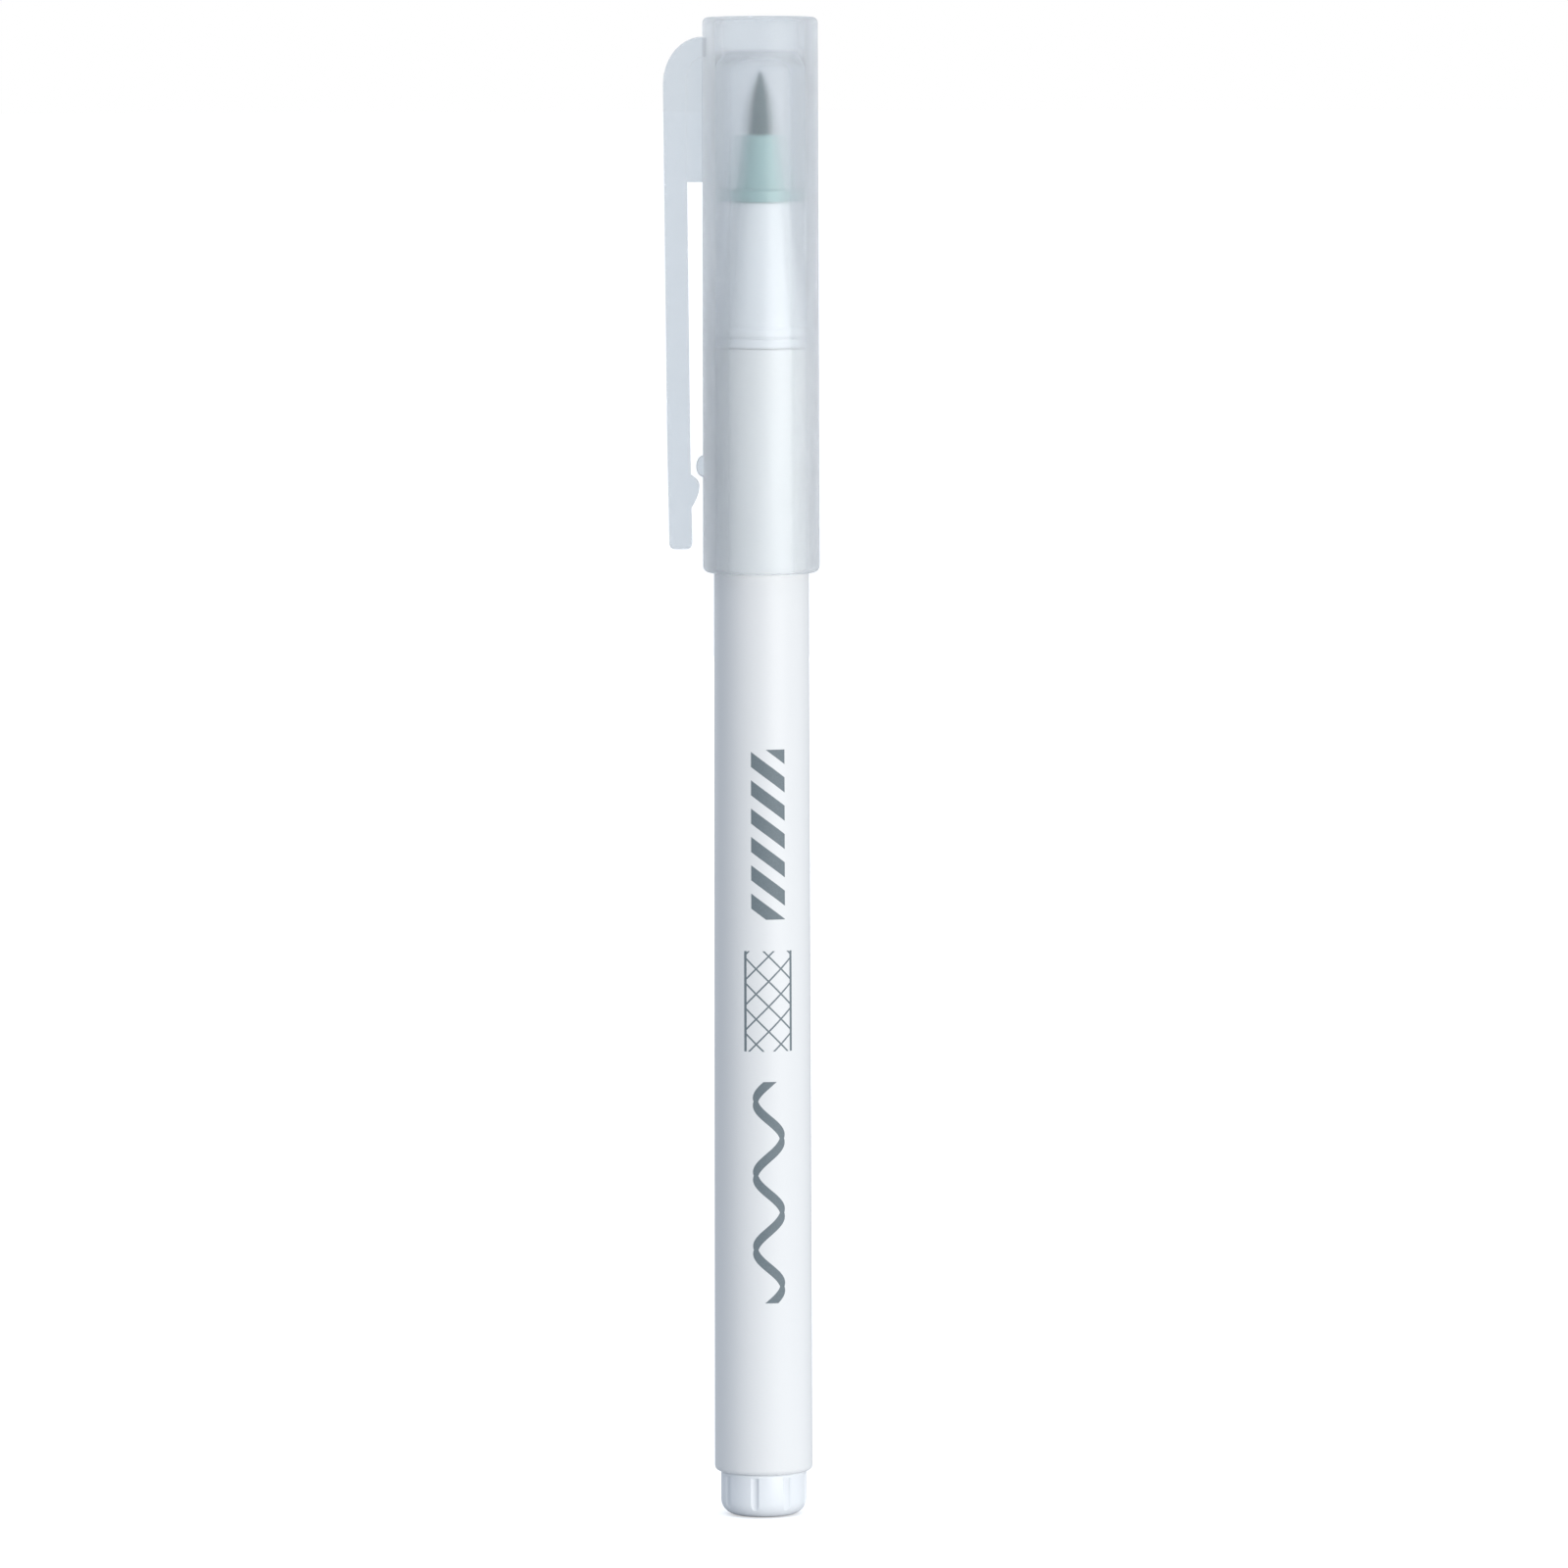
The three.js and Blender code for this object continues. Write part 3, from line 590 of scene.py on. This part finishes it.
def floor_finish(tone):
    """Matt pale floor: it throws less light back up than it shows, and glows behind the cap.

    Noise and place choose between shaders, so each keeps one plain colour."""
    diffuse, emission = "ShaderNodeBsdfDiffuse", "ShaderNodeEmission"
    near_radius, near_tone, far_tone = 0.12, (0.60, 0.61, 0.63), (0.38, 0.39, 0.41)
    white, lift = (1, 1, 1), 0.45
    shader = Shader("studio_floor")
    matt = shader.choose(
        shader.noise(3, detail=2.0), shader.coloured(diffuse, shade_of(tone, 0.99)),
        shader.coloured(diffuse, tone),
    )
    lifted = shader.coloured(emission, white, Strength=lift)
    seen = shader.node("ShaderNodeAddShader", inputs=[matt, lifted])
    x, y, _ = shader.axes()
    near = x * x + y * y < near_radius ** 2
    dim = shader.choose(
        near, shader.coloured(diffuse, far_tone), shader.coloured(diffuse, near_tone)
    )
    backlit = shader.coloured(emission, BACKLIT_TONE)
    unseen = shader.choose(shader.ray("Transmission"), dim, backlit)
    return shader.finish(shader.choose(shader.ray("Camera"), unseen, seen))


# ---- Operators ---------------------------------------------------------------------------


class PEN_OT_barrel(bpy.types.Operator):
    """Turned white barrel with its printed ornament"""

    bl_idname = "pen.barrel"
    bl_label = "Barrel"

    def execute(self, context):
        sizes = context.scene.pen_barrel
        colours = context.scene.pen_colours
        low, high = BARREL_LOW.z, BARREL_HIGH.z
        rear, front = sizes.rear_radius, sizes.rear_radius - sizes.taper
        rear_corner, front_corner = sizes.rear_corner, sizes.front_corner
        profile = [(sizes.bore, high), (sizes.bore, low)]
        profile += arc((rear - rear_corner, low + rear_corner), (rear_corner,) * 2, -90, 0)
        profile += arc((front - front_corner, high - front_corner), (front_corner,) * 2, 0, 90, 4)
        piece = turned("barrel_tube", profile, hollow=True)
        smooth(piece)
        middle = (rear + front) / 2
        place(piece, "pen", "barrel",
              barrel_plastic(colours.barrel, colours.printing, middle))
        return {"FINISHED"}


class PEN_OT_plug(bpy.types.Operator):
    """Fluted rear plug with its hollow spigot"""

    bl_idname = "pen.plug"
    bl_label = "Rear Plug"

    def execute(self, context):
        sizes = context.scene.pen_plug
        head, low, high = PLUG_HIGH.y, PLUG_LOW.z, PLUG_HIGH.z
        corner, spigot = sizes.corner, sizes.spigot_radius
        seam = BARREL_LOW.z - PLAY
        chamfer, flute_edge = 0.12 * MM, 0.07 * MM
        profile = arc((head - corner, low + corner), (corner, corner), -90, 0, 10)
        profile += [(head, seam - chamfer), (head - chamfer, seam)]
        profile += [(spigot, seam), (spigot, high - SPIGOT_WALL / 2)]
        profile += [(spigot - SPIGOT_WALL / 2, high), (spigot - SPIGOT_WALL, high)]
        profile += [(spigot - SPIGOT_WALL, low + sizes.floor)]
        piece = turned("rear_plug", profile)
        cut(piece, self.flute_cutter(sizes, head))
        apply_modifier(piece, "BEVEL", width=flute_edge, segments=2, limit_method="ANGLE",
                       angle_limit=math.radians(14))
        smooth(piece)
        place(piece, "pen", "end_plug",
              moulded_plastic("plug_plastic", context.scene.pen_colours.plug, 0.34))
        return {"FINISHED"}

    @staticmethod
    def flute_cutter(sizes, head):
        """One cylinder for each flute, copied round the axis and joined."""
        past = 1.0 * MM
        reach = head + sizes.flute_radius - sizes.flute_depth
        made = []
        for index in range(sizes.flute_count):
            turn = sizes.flute_turn + index * 2 * math.pi / sizes.flute_count
            deselect_all()
            bpy.ops.mesh.primitive_cylinder_add(
                vertices=CUTTER_SIDES, radius=sizes.flute_radius,
                depth=sizes.flute_length + past,
                location=(math.sin(turn) * reach, -math.cos(turn) * reach,
                          PLUG_LOW.z + (sizes.flute_length - past) / 2),
            )
            made.append(bpy.context.object)
        deselect_all()
        for item in made:
            item.select_set(True)
        bpy.context.view_layer.objects.active = made[0]
        bpy.ops.object.join()
        return settle(bpy.context.object, "flute_cutter")


class PEN_OT_nose(bpy.types.Operator):
    """White nose with the two rings that the cap closes over"""

    bl_idname = "pen.nose"
    bl_label = "Nose"

    def execute(self, context):
        sizes = context.scene.pen_nib
        barrel = context.scene.pen_barrel
        groove, edge, front_edge = 0.2 * MM, 0.08 * MM, 0.15 * MM
        spigot = barrel.bore - PLAY
        hollow = spigot - SPIGOT_WALL
        collar = NOSE_HIGH.y
        low = BARREL_HIGH.z + PLAY
        cone = low + sizes.collar_length
        ring = (sizes.collar_length - groove) / 2
        front, top = sizes.nose_front, NOSE_HIGH.z
        bore = sizes.stem_radius + PLAY
        bulkhead, bulkhead_depth = HOLDER_LOW.z - 0.3 * MM, 3 * MM
        profile = [(hollow, NOSE_LOW.z), (spigot, NOSE_LOW.z), (spigot, low)]
        for base in (low, cone - ring):
            profile += arc((collar - edge, base + edge), (edge, edge), -90, 0, 3)
            profile += arc((collar - edge, base + ring - edge), (edge, edge), 0, 90, 3)
            profile += [(collar - groove, base + ring)]
        profile += [(collar - sizes.nose_step, cone)]
        profile += arc((front - front_edge, top - front_edge), (front_edge,) * 2, 0, 90, 3)
        profile += [(bore, top), (bore, bulkhead), (sizes.wick_bore, bulkhead)]
        bulkhead -= bulkhead_depth
        profile += [(sizes.wick_bore, bulkhead), (hollow, bulkhead)]
        piece = turned("nose_cone", profile, hollow=True)
        smooth(piece)
        place(piece, "pen", "nose_section",
              moulded_plastic("nose_plastic", context.scene.pen_colours.nose, 0.42))
        return {"FINISHED"}


class PEN_OT_holder(bpy.types.Operator):
    """Mint nib holder: vented stem, flange and tapered body"""

    bl_idname = "pen.holder"
    bl_label = "Nib Holder"

    def execute(self, context):
        sizes = context.scene.pen_nib
        flange_low = NOSE_HIGH.z + PLAY
        flange_high = flange_low + sizes.flange
        flange = HOLDER_HIGH.y
        wide, mouth = sizes.holder_wide, sizes.holder_mouth
        dish = sizes.brush_radius + 0.1 * MM
        stem = sizes.stem_radius
        edge = 0.2 * MM
        profile = [(sizes.wick_bore, HOLDER_LOW.z), (stem, HOLDER_LOW.z), (stem, flange_low)]
        profile += arc((flange - edge / 2, flange_low + edge / 2), (edge / 2,) * 2, -90, 0, 3)
        profile += arc((flange - edge, flange_high - edge), (edge, edge), 0, 90, 4)
        profile += arc((wide + edge, flange_high + edge), (edge, edge), 270, 180, 4)
        profile += arc((mouth - edge, MOUTH_Z - edge), (edge, edge), 0, 90, 5)
        profile += arc((0, MOUTH_Z), (dish, dish), 0, -48, 8)
        piece = turned("holder_body", profile, FINE_SIDES, hollow=True)
        depth, half = 0.35 * MM, 0.3 * MM
        vent_low, vent_high = HOLDER_LOW.z - depth, flange_low - 0.3 * MM
        for x, y in ((stem, 0), (-stem, 0), (0, stem), (0, -stem)):
            reach_x, reach_y = (depth, half) if x else (half, depth)
            cut(piece, block((x - reach_x, y - reach_y, vent_low),
                             (x + reach_x, y + reach_y, vent_high)))
        smooth(piece)
        place(piece, "pen", "nib_holder",
              moulded_plastic("holder_plastic", context.scene.pen_colours.holder, 0.4))
        return {"FINISHED"}


class PEN_OT_brush(bpy.types.Operator):
    """Pointed brush of fine fibres that comes out of the holder's mouth"""

    bl_idname = "pen.brush"
    bl_label = "Brush"

    def execute(self, context):
        radius = context.scene.pen_nib.brush_radius
        base, point = MOUTH_Z, TIP_HIGH.z
        reach = point - base
        heel, belly, steps = 0.12 * MM, 2.2, 22
        blunt, tip_radius = 0.035 * MM, 0.02 * MM
        root = ((0.8, 0.6), (0.99, 0.15))  # width and depth below the mouth, per radius
        profile = [(radius * 0.45, TIP_LOW.z + heel)]
        profile += [(radius * width, base - radius * depth) for width, depth in root]
        for step in range(steps):
            share = step / steps
            profile.append((radius * (1 - share ** belly) + blunt * share, base + reach * share))
        profile.append((tip_radius, point))
        piece = turned("fibre_brush", profile, FINE_SIDES * 2)
        self.comb(piece)
        smooth(piece)
        place(piece, None, "brush_tip",
              brush_fibre(context.scene.pen_colours.brush))
        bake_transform(piece)
        return {"FINISHED"}

    @staticmethod
    def comb(piece):
        """Presses every fourth column of points in, so that the fibres lie in fine locks."""
        pitch = 2 * math.pi / (FINE_SIDES * 2)
        press = 0.95
        with EditMode(piece):
            bpy.ops.mesh.select_all(action="DESELECT")
        for vertex in piece.data.vertices:
            column = round(math.atan2(vertex.co.y, vertex.co.x) / pitch)
            vertex.select = column % 4 == 0
        with EditMode(piece):
            bpy.ops.transform.resize(value=(press, press, 1), center_override=(0, 0, 0))


class PEN_OT_cap(bpy.types.Operator):
    """Frosted cap: tapered wall, thick closed end and the shoulder that stops on the barrel"""

    bl_idname = "pen.cap"
    bl_label = "Cap"

    def execute(self, context):
        sizes = context.scene.pen_cap
        rim, end = CAP_LOW.z, CAP_HIGH.z
        outer = CAP_HIGH.y
        closed = outer - sizes.taper
        bore = outer - sizes.wall
        ceiling = end - sizes.end_wall
        ceiling_radius = sizes.upper_bore - sizes.bore_taper
        shoulder = rim + sizes.stop_height
        corner = sizes.bore_corner
        lip = 0.12 * MM
        profile = arc((ceiling_radius - corner, ceiling - corner), (corner, corner), 90, 0)
        profile += [(sizes.upper_bore, shoulder), (bore, shoulder), (bore, rim + lip)]
        profile += [(bore + lip, rim)]
        corner = sizes.rim_corner
        profile += arc((outer - corner, rim + corner), (corner, corner), -90, 0, 8)
        corner = sizes.end_corner
        profile += arc((closed - corner, end - corner), (corner, corner), 0, 90, 8)
        piece = turned("cap_body", profile)
        join(piece, self.bump(outer))
        smooth(piece)
        place(piece, "cap", "cap_shell",
              frosted_plastic(context.scene.pen_colours.frosted))
        return {"FINISHED"}

    @staticmethod
    def bump(outer):
        """Small rounded stop on the cap, just above the clip's bump."""
        width, reach, half_height = 2.2 * MM, 0.72 * MM, 1.0 * MM
        sunk, above_rim, edge = 0.1 * MM, 10.1 * MM, 0.2 * MM
        deselect_all()
        bpy.ops.mesh.primitive_cylinder_add(
            vertices=BUMP_SIDES, radius=1, depth=width, rotation=(math.pi / 2, 0, 0),
            location=(sunk - outer, 0, CAP_LOW.z + above_rim), scale=(reach, half_height, 1),
        )
        piece = settle(bpy.context.object, "cap_bump")
        apply_modifier(piece, "BEVEL", width=edge, segments=3, limit_method="ANGLE",
                       angle_limit=math.radians(60))
        return piece


class PEN_OT_clip(bpy.types.Operator):
    """Pocket clip: shoulder, web and the arm that runs down beside the cap"""

    bl_idname = "pen.clip"
    bl_label = "Pocket Clip"

    def execute(self, context):
        sizes = context.scene.pen_clip
        wall = CAP_HIGH.y - context.scene.pen_cap.taper
        piece = self.arm(sizes, wall)
        join(piece, self.web(sizes, wall))
        cut(piece, self.cap_core(wall))
        smooth(piece)
        place(piece, None, "pocket_clip",
              frosted_plastic(context.scene.pen_colours.frosted))
        bending_length = 14 * MM
        end = (CLIP_HINGE[0], 0, CLIP_HINGE[2] - bending_length)
        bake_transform(piece)
        return {"FINISHED"}

    @classmethod
    def arm(cls, sizes, wall):
        """One section extruded round the shoulder and down the arm, with its edges rounded."""
        deselect_all()
        bpy.ops.mesh.primitive_plane_add(size=1)
        piece = settle(bpy.context.object, "clip_arm")
        sections = cls.sections(sizes, wall)
        before = sections[0]
        for vertex, spot in zip(piece.data.vertices, before):
            vertex.co = spot
        with EditMode(piece, "FACE"):
            bpy.ops.mesh.select_all(action="SELECT")
        for after in sections[1:]:
            with EditMode(piece, "FACE"):
                bpy.ops.mesh.extrude_region_move()
            for vertex in piece.data.vertices:
                if vertex.select:
                    nearest = min(range(4), key=lambda i: (vertex.co - before[i]).length)
                    vertex.co = after[nearest]
            before = after
        with EditMode(piece):
            bpy.ops.mesh.select_all(action="SELECT")
            bpy.ops.mesh.normals_make_consistent(inside=False)
        apply_modifier(piece, "BEVEL", width=sizes.edge, segments=4, limit_method="ANGLE",
                       angle_limit=math.radians(50))
        return piece

    @staticmethod
    def sections(sizes, wall):
        """Four corners of each section, from inside the cap's wall to the clip's tip."""
        top, tip = CAP_HIGH.z - sizes.drop, CLIP_LOW.z
        arm_top = top - sizes.shoulder_height
        inner = -(wall + sizes.standoff)
        outer = inner - sizes.thickness
        bend = CAP_LOW.z + sizes.arm_bend
        peak, rise, run = tip + sizes.bump_place, 1.1 * MM, 1.9 * MM
        past = OVERLAP - wall
        pairs = [((past, top), (past, top - sizes.bridge))]
        out_arc = arc((-wall, arm_top), (outer + wall, top - arm_top), 90, 0, 14)
        in_arc = arc((-wall, arm_top), (inner + wall, top - sizes.bridge - arm_top), 90, 0, 14)
        pairs += list(zip(out_arc, in_arc))
        heights = [arm_top - 4 * MM, top - 14 * MM, top - 20 * MM, top - 29 * MM, bend]
        heights += [peak + rise * step / 8 for step in range(8, 0, -1)]
        heights += [peak - run * step / 10 for step in range(11)]
        corner = sizes.tip_corner
        heights += [tip + corner * (1 - math.sin(math.radians(turn))) for turn in range(0, 91, 18)]
        gaps = ClipGap(sizes, arm_top, bend, tip)
        for height in heights:
            face = -(wall + gaps.at(height))
            bump = sizes.bump * swell(height, peak, rise, run)
            inset = 0
            if height < tip + corner:
                inset = corner - math.sqrt(corner ** 2 - (tip + corner - height) ** 2)
            pairs.append(((face - sizes.thickness + inset, height), (face + bump - inset, height)))
        sections = []
        for (outer_x, outer_z), (inner_x, inner_z) in pairs:
            share = min(max((outer_z - tip) / (top - tip), 0), 1)
            half = (sizes.tip_width + (sizes.root_width - sizes.tip_width) * share) / 2
            sections.append([
                Vector((outer_x, -half, outer_z)), Vector((inner_x, -half, inner_z)),
                Vector((outer_x, half, outer_z)), Vector((inner_x, half, inner_z)),
            ])
        return sections

    @staticmethod
    def web(sizes, wall):
        """Thin plate between the arm and the cap, below the bridge."""
        under = CAP_HIGH.z - sizes.drop - sizes.bridge
        half = sizes.web_width / 2
        reach = wall + sizes.standoff + sizes.thickness / 2
        bite = 0.3 * MM
        return block((-reach, -half, CLIP_HIGH.z + bite), (OVERLAP - wall, half, under + bite))

    @staticmethod
    def cap_core(wall):
        """Cylinder just inside the cap's surface, which shapes the clip's seat on it."""
        depth, above_end = 30 * MM, 5 * MM
        deselect_all()
        bpy.ops.mesh.primitive_cylinder_add(
            vertices=ROUND_SIDES, radius=wall - PLAY, depth=depth,
            location=(0, 0, CAP_HIGH.z + above_end - depth / 2),
        )
        return settle(bpy.context.object, "cap_core")


class ClipGap:
    """Distance from the cap to the arm's inner face, along its two straight runs."""

    def __init__(self, sizes, arm_top, bend, tip):
        self.stops = [(tip, sizes.tip_gap), (bend, sizes.bend_gap), (arm_top, sizes.standoff)]

    def at(self, height):
        below_bend = height < self.stops[1][0]
        (low, first), (high, second) = self.stops[:2] if below_bend else self.stops[1:]
        return first + (second - first) * (height - low) / (high - low)


def swell(height, peak, rise, run):
    """Rounded hump: 1 at the peak, 0 at rise above it and, less steeply, at run below it."""
    span, power = (rise, 2.4) if height > peak else (run, 1.6)
    return 1 - min(1.0, abs(height - peak) / span) ** power


class PEN_OT_refill(bpy.types.Operator):
    """Finishes of the ink feed inside the barrel"""

    bl_idname = "pen.refill"
    bl_label = "Refill"

    def execute(self, context):
        colours = context.scene.pen_colours
        finishes = {
            "feed_wick": bonded_fibre("wick_fibre", colours.wick),
            "reservoir_core": bonded_fibre("reservoir_fibre", colours.reservoir),
            "reservoir_film": clear_film(colours.film),
        }
        for node, material in finishes.items():
            slots = frame["nodes"][node].data.materials
            slots.clear()
            slots.append(material)
        return {"FINISHED"}


class PEN_OT_stage(bpy.types.Operator):
    """Pale floor, soft lights, backdrop tone and the camera"""

    bl_idname = "pen.stage"
    bl_label = "Studio"

    def execute(self, context):
        self.floor(context.scene.pen_colours.floor)
        self.world(context.scene)
        self.lights()
        self.camera(context.scene)
        context.scene.view_settings.view_transform = "Standard"
        return {"FINISHED"}

    @staticmethod
    def floor(tone):
        """Round floor just under the pen."""
        sides, radius = 96, 4.0
        deselect_all()
        bpy.ops.mesh.primitive_circle_add(
            vertices=sides, radius=radius, location=(0, 0, -PLAY), fill_type="NGON"
        )
        floor = settle(bpy.context.object, "studio_floor")
        floor.data.materials.append(floor_finish(tone))

    @staticmethod
    def world(scene):
        """White where it is seen directly, pale behind the frosted cap, dim everywhere else."""
        shader = Shader("studio_surround", "worlds", "ShaderNodeOutputWorld")
        tone = shader.mix(shader.ray("Transmission"), SURROUND_TONE, BACKLIT_TONE)
        surround = shader.coloured("ShaderNodeBackground", tone)
        seen = shader.coloured("ShaderNodeBackground", (1, 1, 1))
        scene.world = shader.finish(shader.choose(shader.ray("Camera"), surround, seen))

    @staticmethod
    def light(name, kind, power, tone=(1, 1, 1)):
        """A light that the camera and the frosted plastic don't see."""
        data = bpy.data.lights.new(name, kind)
        data.energy = power
        data.color = tone
        light = bpy.data.objects.new(name, data)
        bpy.context.scene.collection.objects.link(light)
        light.visible_camera = False
        light.visible_transmission = False
        return light

    @classmethod
    def panel_light(cls, name, azimuth, distance, height, size, power, tone):
        """Soft panel aimed at the middle of the pen; azimuth 0 is in front, 90 right."""
        light = cls.light(name, "AREA", power, tone)
        light.data.shape = "RECTANGLE"
        light.data.size, light.data.size_y = size
        turn = math.radians(azimuth)
        light.location = (math.sin(turn) * distance, -math.cos(turn) * distance, height)
        cls.aim(light, (0, 0, cad_box[1].z / 2))

    @staticmethod
    def aim(item, target):
        """Points a light or the camera at the target."""
        way = Vector(target) - item.location
        item.rotation_euler = way.to_track_quat("-Z", "Y").to_euler()

    @classmethod
    def lights(cls):
        """Key at the front right, two cool cards behind and a wide overhead light."""
        warm, cool = (1.0, 0.98, 0.945), (0.97, 0.985, 1.0)
        cls.panel_light("key_light", azimuth=37, distance=1.2, height=0.15,
                        size=(0.9, 0.3), power=8.3, tone=warm)
        cls.panel_light("back_card", azimuth=180, distance=1.0, height=0.3,
                        size=(1.3, 0.9), power=1.6, tone=cool)
        cls.panel_light("rim_card", azimuth=-142, distance=1.0, height=0.3,
                        size=(0.55, 0.7), power=1.2, tone=cool)
        overhead = cls.light("overhead_light", "SUN", 0.8)
        overhead.data.angle = math.radians(70)
        overhead.visible_glossy = False

    @classmethod
    def camera(cls, scene):
        """Long lens, a little above the cap, looking slightly down."""
        side, distance, height = 2.1 * MM, 1.19, 0.174
        aim_height, roll = 70.05 * MM, math.radians(-0.14)
        data = bpy.data.cameras.new("camera")
        data.sensor_width = 36
        data.lens = 287.9
        data.clip_start, data.clip_end = 0.01, 20
        camera = bpy.data.objects.new("camera", data)
        scene.collection.objects.link(camera)
        camera.location = (side, -distance, height)
        cls.aim(camera, (side, 0, aim_height))
        camera.rotation_euler.rotate_axis("Z", roll)
        scene.camera = camera


# ---- Panel, registration and run ---------------------------------------------------------

PROPERTIES = {
    "pen_barrel": BarrelSizes,
    "pen_plug": PlugSizes,
    "pen_cap": CapSizes,
    "pen_clip": ClipSizes,
    "pen_nib": NibSizes,
    "pen_colours": Colours,
}
OPERATORS = (
    PEN_OT_barrel,
    PEN_OT_plug,
    PEN_OT_nose,
    PEN_OT_holder,
    PEN_OT_brush,
    PEN_OT_refill,
    PEN_OT_cap,
    PEN_OT_clip,
    PEN_OT_stage,
)


class PEN_PT_panel(bpy.types.Panel):
    """The pen's pieces, sizes and colours"""

    bl_idname = "PEN_PT_panel"
    bl_label = "Brush Pen"
    bl_space_type = "VIEW_3D"
    bl_region_type = "UI"
    bl_category = "Brush Pen"

    def draw(self, context):
        layout = self.layout
        for operator in OPERATORS:
            layout.operator(operator.bl_idname)
        for name in PROPERTIES:
            group = getattr(context.scene, name)
            box = layout.box()
            box.label(text=type(group).__name__)
            for key in type(group).__annotations__:
                box.prop(group, key)


def register():
    """Adds the sizes, operators and panel to Blender."""
    for group in PROPERTIES.values():
        bpy.utils.register_class(group)
    for operator in OPERATORS:
        bpy.utils.register_class(operator)
    bpy.utils.register_class(PEN_PT_panel)
    for name, group in PROPERTIES.items():
        setattr(bpy.types.Scene, name, bpy.props.PointerProperty(type=group))


def unregister():
    """Takes them out again."""
    for name in PROPERTIES:
        delattr(bpy.types.Scene, name)
    bpy.utils.unregister_class(PEN_PT_panel)
    for operator in reversed(OPERATORS):
        bpy.utils.unregister_class(operator)
    for group in reversed(PROPERTIES.values()):
        bpy.utils.unregister_class(group)


def main():
    """Builds every piece and the studio."""
    register()
    for operator in OPERATORS:
        family, name = operator.bl_idname.split(".")
        getattr(getattr(bpy.ops, family), name)()


if __name__ == "__main__":
    main()
